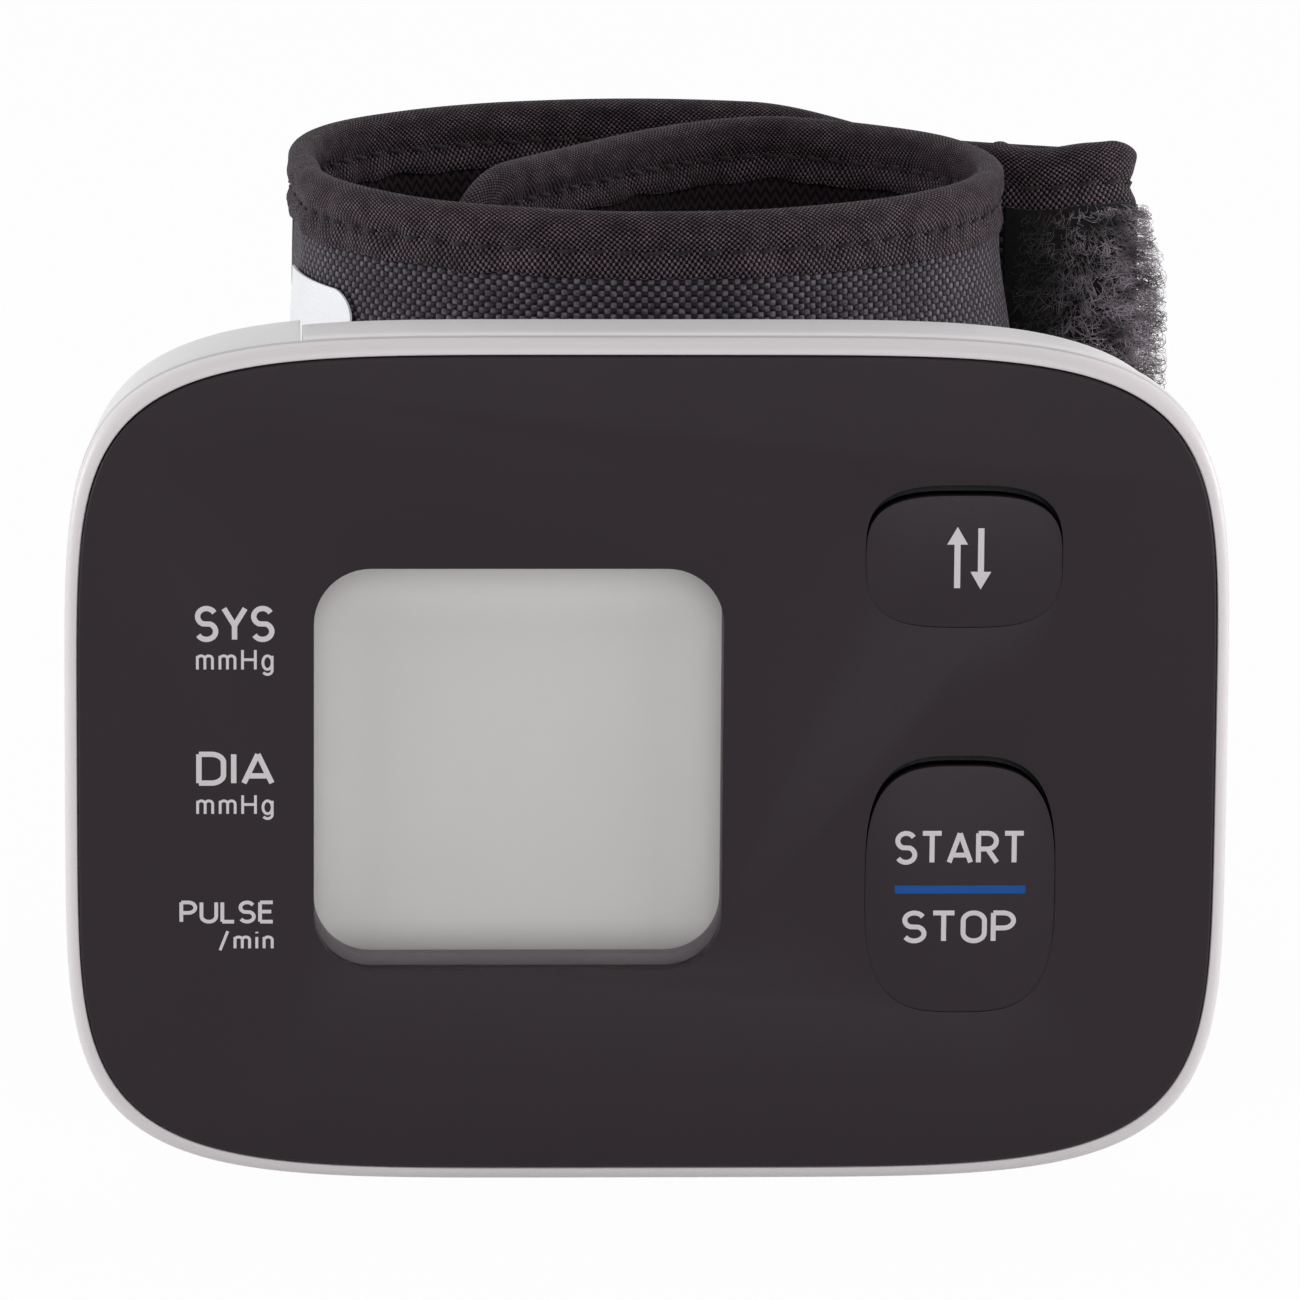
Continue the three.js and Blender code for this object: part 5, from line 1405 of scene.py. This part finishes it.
def curls(
    name, run, part, whole, low, high, base, count, seed, tall, row=1.15, curl=(0.34, 0.68), thinning=1.0,
):
    """Rows of brushed fibres that stand out of the ground and curl over, shorter beside the edges."""
    rng = np.random.default_rng(seed)
    sides = 3
    turn = np.radians([180, 180, 126, 72, 18, -36, -90])
    rings = len(turn)
    s = part[0] + (part[1] - part[0]) * rng.uniform(0, 1, count) ** thinning
    rows = max(int((high - low) / row), 1)
    z = low + (rng.integers(0, rows, count) + 0.5) * (high - low) / rows + rng.normal(0, 0.15, count)
    grow = 0.5 + 0.5 * ease(np.minimum(z - low, high - z), 0, 6)
    grow *= 0.7 + 0.3 * ease(np.minimum(s - whole[0], whole[1] - s), 0, 3)
    radius = rng.uniform(*curl, count) * grow
    height = np.maximum(rng.uniform(0.45, 1.0, count) * abs(tall) * grow, radius)
    facing = rng.normal(-1.2, 1.1, count)
    drift = rng.normal(0, 0.3, count)
    droop = rng.uniform(-0.5, 0.2, count)
    thick = rng.uniform(0.014, 0.024, count)
    a = turn[None, :, None]
    k = (np.arange(sides) / sides * 2 * math.pi)[None, None, :]
    r, h, th = radius[:, None, None], height[:, None, None], thick[:, None, None]
    stem = np.minimum(np.arange(rings), 1)[None, :, None]
    along = r + (r + th * np.cos(k)) * np.cos(a)
    rise = stem * (h - r) + (stem * r + th * np.cos(k)) * np.sin(a)
    sideways = drift[:, None, None] * np.linspace(-1, 1, rings)[None, :, None] + th * np.sin(k)
    lift = rise * droop[:, None, None]
    gs, gz = np.cos(facing)[:, None, None], np.sin(facing)[:, None, None]
    points = run.at(
        np.clip(s[:, None, None] + gs * along - gz * sideways, *whole).ravel(),
        (base + math.copysign(1, tall) * rise).ravel(),
        np.clip(z[:, None, None] + gz * along + gs * sideways + lift, low, high).ravel(),
    )
    start = (np.arange(count) * rings * sides)[:, None, None]
    i = (np.arange(rings - 1) * sides)[None, :, None]
    j = np.arange(sides)[None, None, :]
    n = (np.arange(sides) + 1) % sides
    corner = start + i
    quads = np.stack([corner + j, corner + n, corner + n + sides, corner + j + sides], axis=-1).reshape(-1, 4)
    first_cap = start[:, 0] + np.array([[2, 1, 0]])
    last_cap = start[:, 0] + (rings - 1) * sides + np.array([[0, 1, 2]])
    mesh = bpy.data.meshes.new(name)
    mesh.from_pydata(points.tolist(), [], quads.tolist() + first_cap.tolist() + last_cap.tolist())
    piece = added(name, mesh)
    face_outward(piece)
    return piece


GROUND_WANDER, PATCH_COLUMNS, PATCH_ROWS, LEAST_STEPS = 0.06, 1.3, 0.9, 8


def patch(name, run, first, last, low, high, out, thickness, material, seed):
    """A flat patch of cloth on the strap, with a slightly uneven ground."""
    def ground(s, v):
        z = low + v * (high - low)
        level = out(s, z) if callable(out) else out
        return level + GROUND_WANDER * wander(s, z, seed, 3, 3), z

    columns = max(int((last - first) * PATCH_COLUMNS), LEAST_STEPS)
    rows = max(int((high - low) * PATCH_ROWS), LEAST_STEPS)
    piece = lay_strip(name, run, first, last, columns, rows, ground, thickness)
    skin(piece, material, FINE_SMOOTH)
    return piece


def make_pile():
    first, last = flap_s(PILE_TURNS[0]), FLAP.length - PILE_SHORT
    low, high = TAPE_HEIGHT - OVERLAP, CUFF_WIDTH - TAPE_HEIGHT + OVERLAP
    backing = patch(
        "pile_backing", FLAP, first, last, low, high,
        out=1.15, thickness=0.4, material=pile_ground, seed=60.0,
    )
    carry_flap(backing, "pile", "flap_pile")
    starts = [flap_s(turn) for turn in PILE_TURNS]
    starts += [FLAP.along[FLAP_POINTS] + PILE_OUT, *(FOLD_S + past for past in PILE_FOLD)]
    ends = starts[1:] + [last - PILE_END_GAP]
    for number, (start, end, tall) in enumerate(zip(starts, ends, PILE_HEIGHTS)):
        on_tail = start > FOLD_S
        loops = curls(
            f"pile_loops_{number}", FLAP, (start, end), (first, last), low, high,
            base=1.05, count=PILE_COUNT, seed=11 + number, tall=tall,
            thinning=TAIL_THINNING if on_tail else 1.0,
        )
        skin(loops, pile_tail_shaded if on_tail else pile_fibre, FIBRE_SMOOTH)
        carry_flap(loops, "pile")


def make_inner_pile():
    first, last = fixed_s(INNER_LEAVE), fixed_s(INNER_PILE_END)
    low, high = PAD_SIDE_FULL, CUFF_WIDTH - PAD_SIDE_FULL
    backing = patch(
        "inner_pile_backing", FIXED, first, last, low, high,
        out=lambda s, z: pad_out(s, z) + INNER_PILE_LIFT, thickness=0.3, material=pile_ground, seed=64.0,
    )
    settle(backing, "housing", "pile", "inner_pile")
    loops = curls(
        "inner_pile_loops", FIXED, (first, last), (first, last), low, high,
        base=2.2, count=INNER_PILE_COUNT, seed=14, tall=0.55, row=0.85, curl=(0.15, 0.25),
    )
    skin(loops, pile_fibre, FIBRE_SMOOTH)
    settle(loops, "housing", "pile")


def make_hooks():
    first, last = flap_s(HOOK_TURN), flap_s(TAIL_LEAVE) + HOOK_PAST
    low, high = MID_Z - HOOK_HALF, MID_Z + HOOK_HALF
    backing = patch(
        "hook_backing", FLAP, first, last, low, high,
        out=-0.95, thickness=-0.3, material=hook_plastic, seed=66.0,
    )
    carry_flap(backing, "hook", "hook_patch")
    hooks = curls(
        "hook_rows", FLAP, (first, last), (first, last), low, high,
        base=-1.2, count=HOOK_COUNT, seed=15, tall=-0.45, row=0.9, curl=(0.12, 0.18),
    )
    skin(hooks, hook_plastic, FIBRE_SMOOTH)
    carry_flap(hooks, "hook")


def make_label():
    """The cloth label: a strip with one rounded corner, its upper end a little below the tape."""
    first, last = (fixed_s(turn) for turn in LABEL_TURN)
    top = CUFF_WIDTH - TAPE_HEIGHT - LABEL_BELOW_TAPE
    low = top - LABEL_LENGTH

    def shape(s, v):
        reach = max(LABEL_CORNER - (s - first), 0.0)
        drop = LABEL_CORNER - math.sqrt(LABEL_CORNER ** 2 - reach ** 2)
        z = low + v * (top - drop - low)
        return pad_out(s, z) + LABEL_LIFT + LABEL_WANDER * wander(s, z, 70.0, 6, 6), z

    label = lay_strip("cloth_label", FIXED, first, last, *LABEL_STEPS, shape, LABEL_THICKNESS)
    skin(label, label_satin, TAPE_SMOOTH)
    settle(label, "housing", "label", "cuff_label")


def make_bladder():
    first, last = (fixed_s(turn) for turn in BLADDER_TURN)

    def shape(_, v):
        crown = BLADDER_CROWN * smooth(min(v, 1 - v), 0, CROWN_WIDTH)
        return crown - BLADDER_SINK, PAD_SIDE_FULL + v * (CUFF_WIDTH - 2 * PAD_SIDE_FULL)

    pad = lay_strip("air_bladder", FIXED, first, last, *BLADDER_STEPS, shape, BLADDER_THICKNESS)
    soften(pad, BLADDER_SOFT, segments=3)
    skin(pad, sheet_milky, CLOTH_SMOOTH)
    settle(pad, "housing", "elastomer", "cuff_bladder")


def carry_fixed(piece, slot, *nodes):
    settle(piece, "housing", slot, *nodes)


def make_cuff():
    lay_cloths("cuff", FIXED, CUFF_SHORT, FIXED.length, True, (nylon, lining_knit), carry_fixed)
    bind_edge(
        "cuff_tape", FIXED, *round_edge(FIXED), 20.0, tape_cloth, carry_fixed,
        "cuff_binding_top", "cuff_binding_bottom",
    )
    lay_cloths("flap", FLAP, 0, FLAP.length - FLAP_SHORT, False, (flap_nylon, flap_knit), carry_flap)
    for word, top in (("top", True), ("bottom", False)):
        bind_edge(
            f"flap_tape_{word}", FLAP, *long_edge(FLAP, top), 30.0 + top, flap_tape, carry_flap,
            f"flap_binding_{word}", cut=FLAP.length if top else 0.0,
        )
    make_pile()
    make_inner_pile()
    make_hooks()
    make_label()
    make_bladder()


# Parts kept from the frame

def paint_kept_parts():
    finishes = {
        "display_glass": display_grey(),
        "contact_strip": rubber_grey,
        "circuit_board": circuit_green(),
        "cell_1": cell_wrap("cell_sleeve_1", True),
        "cell_2": cell_wrap("cell_sleeve_2", False),
        "coil_contact_1": spring_steel, "coil_contact_2": spring_steel,
        "positive_plate": steel, "bridge_plate": steel,
        "pump_motor": steel, "pump_head": part_black,
        "release_valve": valve_metal, "pressure_sensor": part_black,
        "air_tubes": tube_milky, "air_nipple": tube_milky,
        "start_switch": part_black, "transfer_switch": part_black,
        "start_plunger": part_pale, "transfer_plunger": part_pale,
        "cuff_curler": sheet_milky, "cuff_saddle": saddle_black,
    }
    for i in range(1, 5):
        finishes[f"case_screw_{i}"] = steel
    for name, material in finishes.items():
        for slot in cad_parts[name].material_slots:
            slot.material = material


# Studio

FLOOR_SIZE, FLOOR_DROP, FLOOR_GLOW, ROOM_LIGHT = 6, 0.0004, 0.97, 0.4
LAMP_AIM = Vector((0, -0.02, 0.03))
# Name, place in metres, power in watts and size in metres of each lamp.
LAMPS = [
    ("key", (0.03, -1.15, 0.45), 2.9, 0.6),
    ("fill", (0.6, -0.7, 0.35), 0.6, 0.7),
    ("top", (0.0, 0.3, 1.1), 1.1, 0.8),
    ("right", (0.9, 0.08, 0.1), 5.0, 0.4),
    ("left", (-0.85, 0.05, 0.12), 4.0, 0.4),
]
CAMERA_LIFT, CAMERA_TURN, CAMERA_ROLL = (math.radians(degrees) for degrees in (12.5, 2.05, 0.421))
CAMERA_AIM, CAMERA_DISTANCE = place(0.124, 0, 39.54), 0.7674
FOCAL_PIXELS, PHOTO_PIXELS, SENSOR = 10663, 1300, 36


def seen_directly(tree):
    """One where the camera, a reflection or clear plastic looks at the background."""
    path = node(tree, "ShaderNodeLightPath")
    seen = sum_of(tree, "MAXIMUM", path.outputs["Is Camera Ray"], path.outputs["Is Glossy Ray"])
    return sum_of(tree, "MAXIMUM", seen, path.outputs["Is Transmission Ray"])


def make_floor():
    bpy.ops.mesh.primitive_plane_add(size=FLOOR_SIZE, location=(0, 0, -FLOOR_DROP))
    bpy.ops.object.transform_apply(location=True, rotation=True, scale=True)
    floor = named("studio_floor")
    material = bpy.data.materials.new("floor_white")
    material.use_nodes = True
    tree = material.node_tree
    tree.nodes.clear()
    matt = node(tree, "ShaderNodeBsdfDiffuse")
    matt.inputs["Color"].default_value = (0.9, 0.9, 0.9, 1)
    glow = node(tree, "ShaderNodeEmission")
    glow.inputs["Color"].default_value = (1, 1, 1, 1)
    mixed = node(tree, "ShaderNodeMixShader")
    wire(tree, sum_of(tree, "MULTIPLY", seen_directly(tree), FLOOR_GLOW), mixed.inputs[0])
    wire(tree, matt.outputs[0], mixed.inputs[1])
    wire(tree, glow.outputs[0], mixed.inputs[2])
    wire(tree, mixed.outputs[0], node(tree, "ShaderNodeOutputMaterial").inputs[0])
    floor.data.materials.append(material)


def make_light():
    world = bpy.data.worlds.new("studio")
    bpy.context.scene.world = world
    world.use_nodes = True
    tree = world.node_tree
    ground = tree.nodes["Background"]
    ground.inputs["Color"].default_value = (1, 1, 1, 1)
    wire(tree, range_of(tree, seen_directly(tree), 0.0, 1.0, ROOM_LIGHT, 1.0), ground.inputs["Strength"])
    for name, spot, power, size in LAMPS:
        lamp = bpy.data.lights.new(name, "AREA")
        lamp.energy = power
        lamp.size = size
        holder = added(name, lamp)
        holder.location = spot
        holder.rotation_mode = "QUATERNION"
        holder.rotation_quaternion = (LAMP_AIM - Vector(spot)).to_track_quat("-Z", "Y")


def make_camera():
    level = math.cos(CAMERA_LIFT)
    forward = Vector((math.sin(CAMERA_TURN) * level, math.cos(CAMERA_TURN) * level, -math.sin(CAMERA_LIFT)))
    data = bpy.data.cameras.new("camera")
    data.sensor_width = SENSOR
    data.lens = FOCAL_PIXELS / PHOTO_PIXELS * SENSOR
    data.clip_start, data.clip_end = 0.01, 20
    camera = added("camera", data)
    camera.location = CAMERA_AIM - forward * CAMERA_DISTANCE
    camera.rotation_mode = "QUATERNION"
    roll = Quaternion((0, 0, 1), CAMERA_ROLL)
    camera.rotation_quaternion = forward.to_track_quat("-Z", "Y") @ roll
    bpy.context.scene.camera = camera


make_camera()
make_panel()
make_front_case()
make_rear_case()
make_battery_door()
make_display()
for button in BUTTONS:
    make_button(button)
make_lettering()
make_cuff()
paint_kept_parts()
make_floor()
make_light()
bpy.context.scene.view_settings.view_transform = "Standard"
